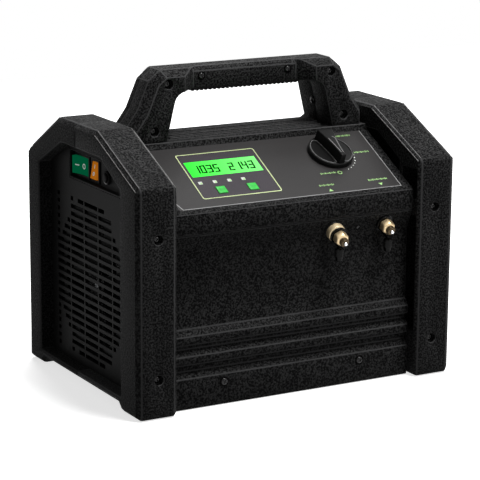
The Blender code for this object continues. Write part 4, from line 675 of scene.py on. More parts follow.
class MACHINE_OT_finishes(bpy.types.Operator):
    """Make every finish and dress the kept nodes with them"""
    bl_idname = "machine.finishes"
    bl_label = "Finishes"

    def execute(self, context):
        sizes = context.scene.recovery_machine
        grained("pebbled_black", sizes.shell_dark, sizes.shell_light,
                (sizes.grain_size, sizes.grain_depth, 60 * MM), (0.45, 0.75), 0.018,
                edge=sizes.shell_edge_highlight, spread=(0.42, 0.64))
        grained("print_and_shade_green", [c * 0.9 for c in sizes.print_and_shade_green], sizes.print_and_shade_green,
                mm(0.5, 0.005, 9), (0.4, 0.5))
        grained("lcd_green", *([c * share for c in sizes.lcd_green] for share in (0.4, 0.5)),
                mm(0.6, 0.001, 35), (0.12, 0.2), 0.1)
        for name, values in FINISHES.items():
            grained(name, *values)
        for name, glow in GLOWS.items():
            glowing(name, *glow)
        glowing("lcd_green", sizes.lcd_green, 0.5)
        fading("lcd_green", sizes.lcd_green, sizes.lcd_pale, LCD[0], LCD[2])
        for finish, names in KEPT_FINISHES.items():
            for name in names:
                kept = NODES[name].data.materials
                kept.clear()
                kept.append(bpy.data.materials[finish])
        return {"FINISHED"}


class MACHINE_OT_shells(bpy.types.Operator):
    """Moulded shells with rounded edges: end frames, handle, housing and panels"""
    bl_idname = "machine.shells"
    bl_label = "Moulded shells"

    def execute(self, context):
        for nodes, finish, slot in ((SHELL_NODES, "pebbled_black", "textured_black"),
                                    (TRIM_NODES, "moulded_black", "smooth_black")):
            for name, width in nodes.items():
                body = "breaker_button_body" if name == "breaker_button" else FIXED
                finish_piece(rounded_copy(name, width * MM), finish, body, [name], slot)
        return {"FINISHED"}


def panel_seat():
    """Seat of the control panel: local X to the right, local Y up the slope."""
    knob_x, knob_s = PANEL_KNOB
    return joint_seat("selector_hinge") @ Matrix.Translation((-knob_x, -knob_s, 0))


def digit_outlines(character):
    """Outlines of a seven segment digit's lit bars, from its lower left corner."""
    width, half = DIGIT_SIZE[0], DIGIT_SIZE[1] / 2
    made = []
    for letter in LIT_BARS[character]:
        ends = BAR_ENDS[letter]
        start, stop = (Vector((x * width, y * half)) for x, y in (ends[:2], ends[2:]))
        along = (stop - start).normalized() * DIGIT_BAR * width / 2
        across = Vector((-along.y, along.x))
        start, stop = start - along * 0.8, stop + along * 0.8
        made.append([start - across, stop - across, stop + across, start + across])
    return made


def key_box(word, place):
    """Lowest and highest corner of a key in the panel's own plane."""
    flat = place.inverted()
    corners = [flat @ vertex.co for vertex in NODES[f"{word}_key"].data.vertices]
    return [[pick(corner[k] for corner in corners) for k in range(3)] for pick in (min, max)]


class MACHINE_OT_panel(bpy.types.Operator):
    """Prints, display, lamps and keys of the control panel"""
    bl_idname = "machine.panel"
    bl_label = "Control panel"

    def execute(self, context):
        place = panel_seat()
        low, high = OVERLAY_TOP - PRINT_SINK, OVERLAY_TOP + PRINT_THICKNESS
        self.borders(place, low, high)
        self.display(place, low, high)
        self.lamps(place, low, high)
        self.marks(place, low, high)
        self.keys(place)
        return {"FINISHED"}

    def borders(self, place, low, high):
        """Grey border line near the film's edge and the green frame round the display."""
        side = OVERLAY_HALF_WIDTH - BORDER_INSET
        front, back = OVERLAY_LOW + BORDER_INSET, OVERLAY_HIGH - BORDER_INSET
        path = [(-side, back), (-side, front + 12 * MM), (-side + 4.2 * MM, front),
                (side, front), (side, back)]
        shape = bmesh.new()
        ribbon(shape, path, 1.15 * MM, low, high, place)
        piece("panel_border", shape, "print_and_highlight_grey", slot="overlay_grey")
        shape = bmesh.new()
        outline = rounded_outline(rectangle(*DISPLAY_FRAME), 2.5 * MM)
        ribbon(shape, outline, 1.2 * MM, low, high, place, closed=True)
        piece("display_frame", shape, "frame_line", slot="key_green")

    def display(self, place, low, high):
        """Lit face with generic digits, and the field round it."""
        left, bottom, right, top = DISPLAY_FRAME
        foot = bottom + BORDER_INSET
        field = rounded_outline(rectangle(left + BORDER_INSET, foot, right - BORDER_INSET,
                                          top - BORDER_INSET), 2 * MM)
        turn_end = 5
        shape = bmesh.new()
        prism(shape, field[:turn_end] + self.key_openings(place, foot) + field[turn_end:],
              low, high - 0.06 * MM, place)
        piece("display_band", shape, "display_band", slot="overlay_grey")
        shape = bmesh.new()
        prism(shape, rectangle(*LCD), low, high - 0.03 * MM, place)
        piece("display_face", shape, "lcd_green", replaced=["display_window"],
              slot="clear_window")
        shape = bmesh.new()
        for text, start, pitch in DIGIT_GROUPS:
            for number, character in enumerate(text):
                x = start + number * pitch
                for outline in digit_outlines(character):
                    points = [(x + p.x + DIGIT_LEAN * p.y, DIGIT_FOOT + p.y) for p in outline]
                    prism(shape, points, low, high, place)
        for x in POINT_PLACES:
            dot = rectangle(x, DIGIT_FOOT - 0.5 * MM, x + 1.1 * MM, DIGIT_FOOT + 0.6 * MM)
            prism(shape, dot, low, high, place)
        piece("display_digits", shape, "digit_dark", slot="clear_window")

    def key_openings(self, place, foot):
        """Outline round both keys, let in from the field's lower edge by a hairline slit."""
        made = []
        for word in ("left", "right"):
            (left, low, _), (right, high, _) = key_box(word, place)
            middle = (left + right) / 2
            left, low, right, high = left - KEY_GAP, low - KEY_GAP, right + KEY_GAP, high + KEY_GAP
            made += [(middle - KEY_SLIT, foot), (middle - KEY_SLIT, low), (left, low),
                     (left, high), (right, high), (right, low), (middle + KEY_SLIT, low),
                     (middle + KEY_SLIT, foot)]
        return made

    def lamps(self, place, low, high):
        """Row of four small lamps, each with painted shade in its lower right corner."""
        lenses, shades = bmesh.new(), bmesh.new()
        for x in LAMP_XS:
            lens = rounded_outline(rectangle(x - LAMP_HALF, LAMP_S - LAMP_HALF, x + LAMP_HALF,
                                             LAMP_S + LAMP_HALF), 0.6 * MM)
            prism(lenses, lens, low, high - 0.02 * MM, place)
            # Green patch in each lamp's lower right corner: painted shade
            corner = [(x + LAMP_HALF * u, LAMP_S + LAMP_HALF * v) for u, v in LAMP_PAINTED_SHADE]
            prism(shades, corner, low, high, place)
        piece("display_lamps", lenses, "print_white", slot="key_green")
        piece("display_lamp_painted_shades", shades, "print_and_shade_green", slot="key_green")

    def marks(self, place, low, high):
        """Arrows for the flow in and out, a ring mark and rows of graduation ticks."""
        shape = bmesh.new()
        for x, s, way in PORT_MARKS:
            arrow = [(x - 2.8 * MM, s - way * 1.8 * MM), (x + 2.8 * MM, s - way * 1.8 * MM),
                     (x, s + way * 2.4 * MM)]
            prism(shape, arrow, low, high, place)
        ring = ring_points(2.4 * MM, 24, RING_MARK)
        ribbon(shape, ring, 0.9 * MM, low, high, place, closed=True)
        piece("flow_marks", shape, "print_and_shade_green", slot="key_green")
        spots = []
        for start, stop, s in TICK_ROWS:
            count = int((stop - start) / TICK_PITCH) + 1
            for i in range(count):
                spot = place @ Vector((start + (stop - start) * i / (count - 1), s, OVERLAY_TOP))
                spots.append((spot, place.to_3x3().col[2], 1.0 if i % 3 == 0 else 0.72))
        spread("graduation_ticks", spots, tick_shape, "print_and_shade_green", TICK_HEIGHT,
               slot="key_green")

    def keys(self, place):
        """Film keys with rounded edges, each with a short row of darker ticks."""
        for word in ("left", "right"):
            body = f"{word}_key_body"
            made = rounded_copy(f"{word}_key", 0.35 * MM)
            finish_piece(made, "key_film", body, [f"{word}_key"], "key_green")
            low, high = key_box(word, place)
            x, s = ((low[k] + high[k]) / 2 for k in (0, 1))
            shape = bmesh.new()
            for i in range(5):
                across, half = x + (i - 2) * KEY_TICK_PITCH, (1.0 if i % 2 == 0 else 0.75) * MM
                prism(shape, rectangle(across - 0.3 * MM, s - half, across + 0.3 * MM, s + half),
                      high[2] - 0.02 * MM, high[2] + 0.05 * MM, place)
            piece(f"{word}_key_ticks", shape, "key_mark", body=body, slot="key_green")


class MACHINE_OT_selector(bpy.types.Operator):
    """Selector knob with a pinched pointer bar, painted highlights on its bar and skirt, and its
    dotted scale
    """
    bl_idname = "machine.selector"
    bl_label = "Selector knob"

    def execute(self, context):
        place = joint_seat("selector_hinge")
        top = SKIRT_TOP
        profile = [(0, KNOB_GAP), (KNOB_RADIUS - 0.5 * MM, KNOB_GAP),
                   (KNOB_RADIUS, KNOB_GAP + 0.6 * MM), (KNOB_RADIUS - 0.4 * MM, top - 0.7 * MM),
                   (KNOB_RADIUS - 1.2 * MM, top), (KNOB_RADIUS - 2.6 * MM, top),
                   (KNOB_RADIUS - 3.6 * MM, top - 1.2 * MM), (0, top - 1.2 * MM)]
        shape = bmesh.new()
        lathe(shape, rounded_profile(profile, 0.7 * MM, 3), place, 72)
        self.bar(shape, place, top - 1.6 * MM)
        piece("selector_grip", shape, "knob_black", body="selector",
              replaced=["selector_knob"], slot="smooth_black", angle=40)
        # Grey lines along the bar's top edges and a grey dot on the skirt are painted highlights
        shape = bmesh.new()
        tip = top + GRIP_HEIGHT
        for side in (-1, 1):
            path = self.beside_bar(side, -2.1 * MM, (0.62, 0.5, 0.4, 0.3, 0.2, 0.1))
            if side > 0:
                path.insert(0, (1.6 * MM, path[0][1] + 2.6 * MM))
            ribbon(shape, path, 0.75 * MM, tip - 0.1 * MM, tip + 0.15 * MM, place)
        dot = ring_points(1.0 * MM, 16, mm(-8.4, 23.2))
        prism(shape, dot, top - 0.3 * MM, top + 0.2 * MM, place)
        piece("bar_highlight_lines", shape, "print_and_highlight_grey", body="selector", slot="smooth_black")
        # Pale ribbons round the scoops on top of the skirt: a painted highlight on its rim edges
        shape = bmesh.new()
        for side in (-1, 1):
            path = self.beside_bar(side, 1.4 * MM, (0.86, 0.75, 0.6, 0.45, 0.3, 0.15, 0.07))
            start, stop = (atan2(path[k][1], abs(path[k][0])) for k in (-1, 0))
            arc = ring_points(KNOB_RADIUS - 2.4 * MM, 14, start=start, stop=stop)
            path += [(side * x, y) for x, y in arc[1:-1]]
            ribbon(shape, path, 0.8 * MM, top - 1.3 * MM, top + 0.12 * MM, place, closed=True)
        piece("skirt_rim_highlights", shape, "knob_rim_highlight", body="selector", slot="smooth_black")
        self.scale(context.scene.recovery_machine.dot_count)
        return {"FINISHED"}

    def half_width(self, share):
        """Half the pointer bar's width, from its tip at 0 to its tail at 1."""
        return (GRIP_TIP_WIDTH + (GRIP_TAIL_WIDTH - GRIP_TIP_WIDTH) * share ** 1.6) / 2

    def beside_bar(self, side, clearance, shares):
        """Path along one side of the pointer bar, at a distance from it."""
        return [(side * (self.half_width(share) + clearance), -GRIP_REACH + 2 * GRIP_REACH * share)
                for share in shares]

    def bar(self, shape, place, low):
        """Pointer bar, wide at its tail and narrow at its tip, with a rounded top edge."""
        steps = 24
        side = [(self.half_width(i / steps), -GRIP_REACH + (2 * GRIP_REACH - 2.2 * MM) * i / steps)
                for i in range(steps + 1)]
        tail_x, tail_y = side[-1]
        crown = [(share * tail_x, tail_y + 2.0 * MM * (1 - share ** 2))
                 for share in (0.75, 0.4, 0, -0.4, -0.75)]
        outline = side + crown + [(-x, y) for x, y in reversed(side)]
        height = SKIRT_TOP + GRIP_HEIGHT
        levels = [(low, 0.0), (height - 1.4 * MM, 0.3 * MM), (height - 0.6 * MM, 0.55 * MM),
                  (height - 0.15 * MM, 1.0 * MM), (height, 1.6 * MM)]
        stack(shape, [(shifted(outline, inset, True), z) for z, inset in levels], place)

    def scale(self, count):
        """Dots that grow along an arc beside the knob."""
        place = panel_seat()
        arc = ring_points(SCALE_RADIUS, count - 1, SCALE_CENTRE, radians(SCALE_START),
                          radians(SCALE_STOP))
        spots = [(place @ Vector((x, s, OVERLAY_TOP)), place.to_3x3().col[2],
                  0.45 + 0.45 * i / count) for i, (x, s) in enumerate(arc)]
        spread("selector_scale", spots, dot_shape, "print_white", 1.3 * MM, slot="key_green")


# Geometry Nodes

def spread_tree(name, make_shape):
    """Tree that sets one shape on every point, turned to the point's facing and scaled to it."""
    tree = bpy.data.node_groups.new(name, "GeometryNodeTree")
    for label, kind, value in (("Points", "Geometry", None), ("Size", "Float", 1 * MM),
                               ("Turn", "Float", 0.0), ("Finish", "Material", None)):
        made = tree.interface.new_socket(name=label, in_out="INPUT",
                                         socket_type=f"NodeSocket{kind}")
        if value is not None:
            made.default_value = value
    tree.interface.new_socket(name="Pieces", in_out="OUTPUT", socket_type="NodeSocketGeometry")
    given = node(tree, "NodeGroupInput").outputs
    facing, share = (node(tree, "GeometryNodeInputNamedAttribute", {"Name": label},
                          data_type=kind).outputs["Attribute"]
                     for label, kind in (("facing", "FLOAT_VECTOR"), ("share", "FLOAT")))
    align = node(tree, "FunctionNodeAlignRotationToVector", {"Vector": facing}, axis="Z")
    copies = node(tree, "GeometryNodeInstanceOnPoints", {
        "Points": given["Points"], "Instance": make_shape(tree, given["Size"]),
        "Rotation": align.outputs["Rotation"], "Scale": share})
    most, result = 3, 1  # this node's sockets for single numbers
    angle = node(tree, "FunctionNodeRandomValue", {"Seed": 7, most: given["Turn"]},
                 data_type="FLOAT")
    turned = node(tree, "GeometryNodeRotateInstances", {
        "Instances": copies.outputs["Instances"],
        "Rotation": vector(tree, 0, 0, angle.outputs[result])})
    real = node(tree, "GeometryNodeRealizeInstances", {"Geometry": turned.outputs["Instances"]})
    dress = node(tree, "GeometryNodeSetMaterial", {"Geometry": real.outputs["Geometry"],
                                                   "Material": given["Finish"]})
    node(tree, "NodeGroupOutput", {"Pieces": dress.outputs["Geometry"]})
    return tree


def spread(name, spots, make_shape, finish, size, turn=0.0, **more):
    """Finished piece of one shape on (point, facing, share) spots, as a plain mesh."""
    mesh = bpy.data.meshes.new(name)
    mesh.from_pydata([spot for spot, _, _ in spots], [], [])
    facing = mesh.attributes.new("facing", "FLOAT_VECTOR", "POINT")
    facing.data.foreach_set("vector", [v for _, way, _ in spots for v in way])
    share = mesh.attributes.new("share", "FLOAT", "POINT")
    share.data.foreach_set("value", [value for _, _, value in spots])
    made = new_object(name, mesh)
    modifier = made.modifiers.new("pieces", "NODES")
    modifier.node_group = spread_tree(f"{name}_tree", make_shape)
    values = {"Size": size, "Turn": turn, "Finish": bpy.data.materials[finish]}
    for item in modifier.node_group.interface.items_tree:
        if item.in_out == "INPUT" and item.name in values:
            modifier[item.identifier] = values[item.name]
    finish_piece(apply_modifiers(made), finish, **more)


def cylinder(tree, radius, sides, depth):
    """Upright cylinder."""
    return node(tree, "GeometryNodeMeshCylinder", {
        "Vertices": sides, "Radius": radius, "Depth": depth}).outputs["Mesh"]


def block(tree, *sides):
    """Block with the given sides."""
    return node(tree, "GeometryNodeMeshCube", {"Size": vector(tree, *sides)}).outputs["Mesh"]


def hoop(tree, radius, wire, sides):
    """Ring of round wire, with the radius of the ring and that of the wire."""
    path, section = (node(tree, "GeometryNodeCurvePrimitiveCircle", {
        "Resolution": count, "Radius": reach}).outputs["Curve"]
        for count, reach in ((40, radius), (sides, wire)))
    return node(tree, "GeometryNodeCurveToMesh", {
        "Curve": path, "Profile Curve": section}).outputs["Mesh"]


def dot_shape(tree, size):
    """Flat round dot, its radius being the size."""
    return cylinder(tree, size, 16, FLAT_THICKNESS)


def tick_shape(tree, size):
    """Flat upright bar, its height being the size."""
    return block(tree, scaled(tree, size, 0.36), size, FLAT_THICKNESS)


def rib_shape(tree, size):
    """Long rib with a round section across the grip, its radius being the size."""
    return cylinder(tree, size, 14, GRIP_RIB_LENGTH)


def crest_shape(tree, size):
    """Ring with a small round section, its outer radius being the size."""
    return hoop(tree, computed(tree, "SUBTRACT", size, THREAD_WIRE), THREAD_WIRE, 8)


def well_shade_shape(tree, size):
    """Low round ring with a floor round a screw head, near black as painted shade, its outer radius
    being the size.
    """
    ring = scaled(tree, size, 0.86)
    both = node(tree, "GeometryNodeJoinGeometry",
                {"Geometry": hoop(tree, ring, scaled(tree, size, 0.14), 10)})
    tree.links.new(cylinder(tree, ring, 40, 0.5 * MM), both.inputs["Geometry"])
    return both.outputs["Geometry"]


def head_shape(tree, size):
    """Domed screw head with a cross recess, its radius being the size."""
    dome = node(tree, "GeometryNodeMeshUVSphere", {"Segments": 40, "Rings": 20, "Radius": size})
    press = node(tree, "GeometryNodeTransform", {
        "Geometry": dome.outputs["Mesh"], "Scale": (1, 1, HEAD_HEIGHT / HEAD_RADIUS)})
    carve = node(tree, "GeometryNodeMeshBoolean", {"Mesh 1": press.outputs["Geometry"]},
                 operation="DIFFERENCE")
    for sides in ((0.26, 1.05, 0.7), (1.05, 0.26, 0.7)):
        arm = block(tree, *(scaled(tree, size, factor) for factor in sides))
        lifted = node(tree, "GeometryNodeTransform", {
            "Geometry": arm, "Translation": vector(tree, 0, 0, scaled(tree, size, 0.62))})
        tree.links.new(lifted.outputs["Geometry"], carve.inputs["Mesh 2"])
    return carve.outputs["Mesh"]


def surface_spot(part, x, z):
    """Point and outward normal where a line along +Y first meets a CAD node."""
    mesh = NODES[part].data
    tree = BVHTree.FromPolygons([v.co for v in mesh.vertices],
                                [face.vertices for face in mesh.polygons])
    point, normal, _, _ = tree.ray_cast(Vector((x, 2 * CAD_LOW.y, z)), Vector((0, 1, 0)))
    if point is None:
        raise ValueError(f"no surface of {part} at {x}, {z}")
    return point, normal


class MACHINE_OT_screws(bpy.types.Operator):
    """Domed cross recess screws, in wells drawn as near black rings of painted shade, and on the
    flanges
    """
    bl_idname = "machine.screws"
    bl_label = "Screws"

    def execute(self, context):
        spots = []
        for name in SCREW_NODES:
            low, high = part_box(name)
            spot = Vector(((low.x + high.x) / 2, low.y + HEAD_HEIGHT, (low.z + high.z) / 2))
            spots.append((spot, Vector((0, -1, 0)), 1.0))
        for part, x, z, share in LOOSE_SCREWS:
            spots.append((*surface_spot(part, x, z), share))
        spots.append((Vector(LEG_SCREW), Vector(LEG_SCREW_FACING), 0.9))
        spread("screw_heads", spots, head_shape, "screw_black",
               context.scene.recovery_machine.head_radius, turn=3.0, replaced=SCREW_NODES,
               slot="dark_steel", angle=40)
        # Near black rings with floors round the loose screws paint the shade in their wells
        spread("screw_well_shades", spots[len(SCREW_NODES):], well_shade_shape, "well_shade_black", WELL_RADIUS,
               slot="smooth_black", angle=40)
        return {"FINISHED"}


class MACHINE_OT_ribs(bpy.types.Operator):
    """Finger ribs under the grip bar and raised lines along the frames' sloped edges, pale as
    painted highlights
    """
    bl_idname = "machine.ribs"
    bl_label = "Ribs and edge lines"

    def execute(self, context):
        middle = (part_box("handle_front")[0].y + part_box("handle_rear")[1].y) / 2
        count = int(2 * GRIP_RIB_REACH / GRIP_RIB_PITCH)
        spots = [(Vector((-GRIP_RIB_REACH + GRIP_RIB_PITCH * i, middle,
                          GRIP_UNDERSIDE - GRIP_RIB_SINK)),
                  Vector((0, 1, 0)), (0.5, 0.8, 1.0)[min(i, count - i, 2)])
                 for i in range(count + 1)]
        spread("grip_ribs", spots, rib_shape, "moulded_black", GRIP_RIB_RADIUS,
               slot="textured_black", angle=50)
        # Thin pale tubes along both edges of each chamfer: painted highlights on those edges
        shape = bmesh.new()
        for side in (-1, 1):
            for x, drop in EDGE_LINES:
                for slope in SLOPES:
                    ends = [Vector((side * x, y, z - drop)) for y, z in slope]
                    tube(shape, ends, EDGE_LINE_RADIUS, 8)
        piece("frame_edge_highlights", shape, "edge_highlight_grey", slot="textured_black")
        return {"FINISHED"}


class MACHINE_OT_ports(bpy.types.Operator):
    """Brass flare ports with hexagon nuts, and their hanging rubber caps"""
    bl_idname = "machine.ports"
    bl_label = "Ports and caps"

    def execute(self, context):
        for word, start in (("inlet", COLLAR[1] + GAP), ("outlet", GAP)):
            place = joint_seat(f"{word}_cap_swing")
            if word == "inlet":
                self.collar(place)
            self.port(word, place, start)
            if word == "outlet":
                self.washer(place)
            self.cap(word, place, start)
        return {"FINISHED"}

    def collar(self, place):
        """Round filter housing behind the inlet, on its dark base ring."""
        radius, length = COLLAR
        inner = SHANK_RADIUS + GAP
        drum = radius - 1.7 * MM
        profile = [(inner, GAP), (drum + 0.4 * MM, GAP), (drum + 0.4 * MM, COLLAR_BASE),
                   (inner, COLLAR_BASE)]
        turned_piece("filter_base", profile, place, "knob_black", 64, 0.7 * MM,
                     slot="smooth_black", angle=40)
        profile = [(inner, COLLAR_BASE), (drum - 0.5 * MM, COLLAR_BASE),
                   (drum - 0.5 * MM, COLLAR_BASE + 0.6 * MM), (drum, COLLAR_BASE + 1.0 * MM),
                   (drum, length - 1.2 * MM), (drum - 1.2 * MM, length), (inner, length)]
        turned_piece("filter_collar", profile, place, "matt_brass", 64, 0.5 * MM,
                     replaced=["inlet_filter_housing"], slot="brass", angle=40)

    def washer(self, place):
        """Thin washer behind the outlet."""
        inner, outer = SHANK_RADIUS + 0.1 * MM, TETHER[0] + 0.6 * MM
        low, high = mm(0.03, 0.3)
        turned_piece("outlet_washer", rectangle(inner, low, outer, high), place, "screw_black",
                     48, slot="zinc_steel")

    def port(self, word, place, start):
        """Shank, hexagon nut, threaded end in darkened brass as painted shade, and the pin of the
        valve core.
        """
        nut = start + TETHER[1] + GAP
        thread = nut + NUT[1]
        end = thread + THREAD[1]
        shape = bmesh.new()
        foot, head = -SHANK_DEPTH, nut + 0.2 * MM
        lathe(shape, [(0, foot), (SHANK_RADIUS, foot), (SHANK_RADIUS, head), (0, head)], place, 32)
        levels = [(nut, 1.1 * MM), (nut + 0.4 * MM, 0.4 * MM), (nut + 1.1 * MM, 0),
                  (thread - 2.6 * MM, 0), (thread - 1.6 * MM, 0.35 * MM),
                  (thread - 0.6 * MM, 1.0 * MM), (thread, 1.9 * MM)]
        stack(shape, [(rounded_outline(self.hexagon(NUT[0] - inset), 2.2 * MM), z)
                      for z, inset in levels], place)
        piece(f"{word}_fitting", shape, "machined_brass", replaced=[f"{word}_port"],
              slot="brass", angle=40)
        root = THREAD[0] - 0.6 * MM
        profile = [(0, thread - 0.2 * MM), (root, thread - 0.2 * MM), (root, end - 0.6 * MM),
                   (root - 0.8 * MM, end), (0, end)]
        turned_piece(f"{word}_flare", profile, place, "brass_painted_shade", 40, 0.25 * MM, 2,
                     slot="brass", angle=40)
        self.thread(word, place, thread)
        ball, reach = TIP
        profile = [(0, end - 0.2 * MM), (ball * 0.8, end - 0.2 * MM)]
        profile += [(ball * cos(radians(a)), end + reach - ball + ball * sin(radians(a)))
                    for a in range(0, 90, 15)]
        turned_piece(f"{word}_valve_pin", profile + [(0, end + reach)], place, "steel_bright", 28,
                     slot="zinc_steel")

    def hexagon(self, radius):
        """Outline of a hexagon with two sides along X."""
        return ring_points(radius, 6, start=pi / 6, stop=2 * pi + pi / 6)

    def thread(self, word, place, low):
        """Thread crests along the flare end, spread by Geometry Nodes, in darkened brass as painted
        shade.
        """
        count = int((THREAD[1] - 0.8 * MM) / THREAD_PITCH)
        spots = [(place @ Vector((0, 0, low + 0.4 * MM + THREAD_PITCH * (i + 0.5))),
                  place.to_3x3().col[2], 1.0) for i in range(count)]
        spread(f"{word}_thread", spots, crest_shape, "brass_painted_shade", THREAD[0], slot="brass",
               angle=50)

    def cap(self, word, place, start):
        """Cap with grip ribs that hangs by its strap from a ring round the neck."""
        low, high = start + GAP / 2, start + TETHER[1]
        bore = SHANK_RADIUS + GAP
        shape = bmesh.new()
        profile = [(bore, low), (TETHER[0], low), (TETHER[0], high), (bore, high)]
        lathe(shape, rounded_profile(profile, 0.5 * MM, 3), place, 48)
        middle = (low + high) / 2
        bend = Vector((0, -(NUT[0] + STRAP_RADIUS + STRAP_CLEARANCE), middle))
        knot = Vector((0, -(TETHER[0] - STRAP_RADIUS), middle))
        crown = bend + Vector((0, 0, STRAP_REACHES[word]))
        path = [knot, knot.lerp(bend, 0.6)]
        path += [bend + (knot - bend) * 0.4 * (1 - t) ** 2 + (crown - bend) * 0.25 * t ** 2
                 for t in (0.33, 0.66, 1.0)]
        tube(shape, [place @ point for point in (*path, crown)], STRAP_RADIUS)
        base = Matrix.Translation(place @ crown)
        radius, length = CAP
        profile = [(0, STRAP_RADIUS), (radius * 0.6, STRAP_RADIUS), (radius * 0.95, -0.8 * MM),
                   (radius * 0.95, -length * 0.62), (radius * 0.82, -length * 0.7),
                   (radius * 0.72, -length * 0.92), (radius * 0.4, -length), (0, -length)]
        lathe(shape, rounded_profile(profile, 0.8 * MM, 3), base, 32)
        for centre in ring_points(radius * 0.9, CAP_RIBS):
            rib = ring_points(0.45 * MM, 6, centre)
            prism(shape, rib, -length * 0.6, -1.2 * MM, base)
        piece(f"{word}_cap_and_strap", shape, "gloss_rubber", body=f"{word}_cap_body",
              replaced=[f"{word}_cap"], slot="rubber", angle=40)


class MACHINE_OT_rockers(bpy.types.Operator):
    """Rockers with hollowed faces and their on and off marks, and the breaker's ring in painted
    shade with a painted glint
    """
    bl_idname = "machine.rockers"
    bl_label = "Rocker switches"

    def execute(self, context):
        for word, values in ROCKERS.items():
            self.rocker(word, *values)
        low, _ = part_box("breaker_body")
        button_low, button_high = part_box("breaker_button")
        centre = (button_low + button_high) / 2
        place = seat((low.x, centre.y, centre.z), (-1, 0, 0), (0, -1, 0))
        profile = mm((5.4, -0.4), (7.4, -0.4), (7.2, 0.2), (5.6, 0.35))
        # The ring takes a near black tone, painted shade over all but its glint
        turned_piece("breaker_ring", profile, place, "well_shade_black", 40, 0.25 * MM, 2,
                     slot="smooth_black")
        # Grey arc on the ring's lower rear quarter: a painted glint
        shape = bmesh.new()
        arc = ring_points(6.7 * MM, 10, start=radians(195), stop=radians(300))
        ribbon(shape, arc, 0.7 * MM, 0.1 * MM, 0.45 * MM, place)
        piece("breaker_ring_glint", shape, "print_and_highlight_grey", slot="smooth_black")
        return {"FINISHED"}

    def rocker(self, word, half, side, rise, along, axis, lean, tint):
        """Rocker whose face is a shallow curve, dished in the middle and proud at its ends."""
        out = Vector((1, 0, 0))
        turn = Matrix((along, out.cross(Vector(along)), out)).transposed().to_4x4()
        place = (Matrix.Translation(JOINTS[f"{word}_rocker_hinge"]["pos_m"])
                 @ Matrix.Rotation(radians(lean), 4, Vector(axis)) @ turn)
        back = ROCKER_DEPTH / 2

        def face(t):
            """Depth of the face at a distance along it."""
            return -(ROCKER_DIP + (rise - ROCKER_DIP) * (t / half) ** 2) - back

        steps = 12
        stations = [-half + 2 * half * i / steps for i in range(steps + 1)]
        outline = [(-half, back), *((t, face(t)) for t in stations), (half, back)]
        shape = bmesh.new()
        skin(shape, [[shape.verts.new(place @ Vector((t, w, x))) for t, x in outline]
                     for w in (-side, side)])
        made = bevel(from_bmesh(f"{word}_rocker_cap", shape), 0.6 * MM, 3, 30)
        body, slot = f"{word}_rocker_body", f"rocker_{tint}"
        finish_piece(made, f"lit_{tint}", body, [f"{word}_rocker"], slot, 30)
        shape = bmesh.new()
        size = 0.17 * half
        line = [(0.47 * half + k * size, 0) for k in (-1.3, 0, 1.3)]
        ring = ring_points(size, 24, (-0.38 * half, 0))
        for path, closed in ((line, False), (ring, True)):
            ribbon(shape, path, MARK_WIDTH, 0.1 * MM, -0.12 * MM, place, closed, face)
        piece(f"{word}_rocker_marks", shape, "rocker_mark", body=body, slot=slot)


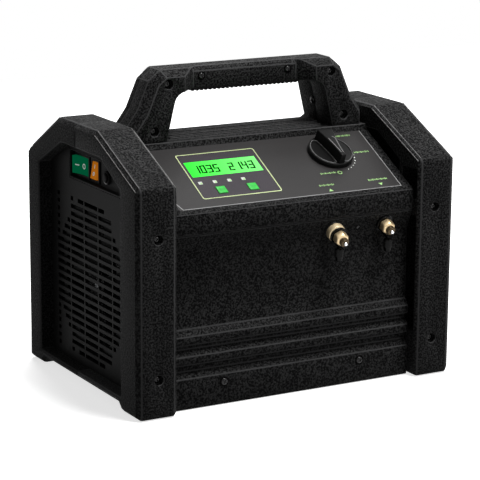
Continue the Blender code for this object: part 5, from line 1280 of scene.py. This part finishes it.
class MACHINE_OT_stage(bpy.types.Operator):
    """Pale floor, white world, soft lamps and the camera"""
    bl_idname = "machine.stage"
    bl_label = "Stage"

    def execute(self, context):
        scene = context.scene
        scene.view_settings.view_transform = "Standard"
        self.floor()
        self.world(scene)
        for values in LAMPS:
            self.lamp(*values)
        self.camera(scene)
        return {"FINISHED"}

    def floor(self):
        """Flat floor with a soft shadow, which fades into the white world towards its edges."""
        mesh = bpy.data.meshes.new("floor")
        square = rectangle(-FLOOR_REACH, -FLOOR_REACH, FLOOR_REACH, FLOOR_REACH)
        mesh.from_pydata([(x, y, 0) for x, y in square], [], [range(4)])
        made = new_object("floor", mesh)
        tree, shader = new_material("floor_white")
        for name, value in (("Roughness", 0.9), ("Specular IOR Level", 0),
                            ("Emission Color", colour(1))):
            shader.inputs[name].default_value = value
        seen = self.seen_directly(tree)
        where = node(tree, "ShaderNodeTexCoord").outputs["Object"]
        far = node(tree, "ShaderNodeVectorMath", {0: where}, operation="LENGTH").outputs["Value"]
        lift = scaled(tree, seen, ranged(tree, far, *FLOOR_FADE))
        tone = colour_mix(tree, seen, colour(FLOOR_DARK), colour(FLOOR_PALE))
        tree.links.new(tone, shader.inputs["Base Color"])
        tree.links.new(lift, shader.inputs["Emission Strength"])
        mesh.materials.append(bpy.data.materials["floor_white"])

    def seen_directly(self, tree):
        """Socket that is 1 for camera, glossy and transmission rays."""
        rays = node(tree, "ShaderNodeLightPath").outputs
        seen = computed(tree, "MAXIMUM", rays["Is Camera Ray"], rays["Is Glossy Ray"])
        return computed(tree, "MAXIMUM", seen, rays["Is Transmission Ray"])

    def world(self, scene):
        """White where it is seen or mirrored, and a plain soft fill elsewhere."""
        scene.world = bpy.data.worlds.new("studio")
        scene.world.use_nodes = True
        tree = scene.world.node_tree
        background = tree.nodes["Background"]
        background.inputs["Color"].default_value = colour(1)
        strength = ranged(tree, self.seen_directly(tree), WORLD_FILL, 1.0)
        tree.links.new(strength, background.inputs["Strength"])

    def lamp(self, name, place, target, size, power):
        """Square soft lamp that points at a target."""
        data = bpy.data.lights.new(name, "AREA")
        data.size = size
        data.energy = power
        made = new_object(name, data)
        made.matrix_world = seat(place, Vector(place) - Vector(target))

    def camera(self, scene):
        """Camera at the photograph's viewing angle."""
        yaw, pitch, roll = radians(CAMERA_YAW), radians(CAMERA_PITCH), radians(CAMERA_ROLL)
        ahead = Vector((sin(yaw) * cos(pitch), cos(yaw) * cos(pitch), -sin(pitch)))
        right = Vector((cos(yaw), -sin(yaw), 0))
        up = right.cross(ahead)
        side = cos(roll) * right + sin(roll) * up
        top = -sin(roll) * right + cos(roll) * up
        data = bpy.data.cameras.new("photo_camera")
        data.lens = CAMERA_LENS
        data.sensor_width = SENSOR_WIDTH
        scene.camera = new_object("photo_camera", data)
        turn = Matrix((side, top, -ahead)).transposed().to_4x4()
        scene.camera.matrix_world = Matrix.Translation(CAMERA_PLACE) @ turn


class MACHINE_PT_panel(bpy.types.Panel):
    """Settings and operators of the recovery machine"""
    bl_idname = "MACHINE_PT_panel"
    bl_label = "Recovery machine"
    bl_space_type = "VIEW_3D"
    bl_region_type = "UI"
    bl_category = "Recovery machine"

    def draw(self, context):
        sizes = context.scene.recovery_machine
        for name in sizes.bl_rna.properties.keys():
            if name not in ("rna_type", "name"):
                self.layout.prop(sizes, name)
        for operator in OPERATORS:
            self.layout.operator(operator.bl_idname)


OPERATORS = (MACHINE_OT_finishes, MACHINE_OT_shells, MACHINE_OT_panel, MACHINE_OT_selector,
             MACHINE_OT_ports, MACHINE_OT_rockers, MACHINE_OT_screws, MACHINE_OT_ribs,
             MACHINE_OT_stage)


def register():
    for made in (RecoveryMachineSettings, *OPERATORS, MACHINE_PT_panel):
        bpy.utils.register_class(made)
    bpy.types.Scene.recovery_machine = bpy.props.PointerProperty(type=RecoveryMachineSettings)


def unregister():
    del bpy.types.Scene.recovery_machine
    for made in (MACHINE_PT_panel, *reversed(OPERATORS), RecoveryMachineSettings):
        bpy.utils.unregister_class(made)


def main():
    register()
    for operator in OPERATORS:
        group, word = operator.bl_idname.split(".")
        getattr(getattr(bpy.ops, group), word)()


if __name__ == "__main__":
    main()
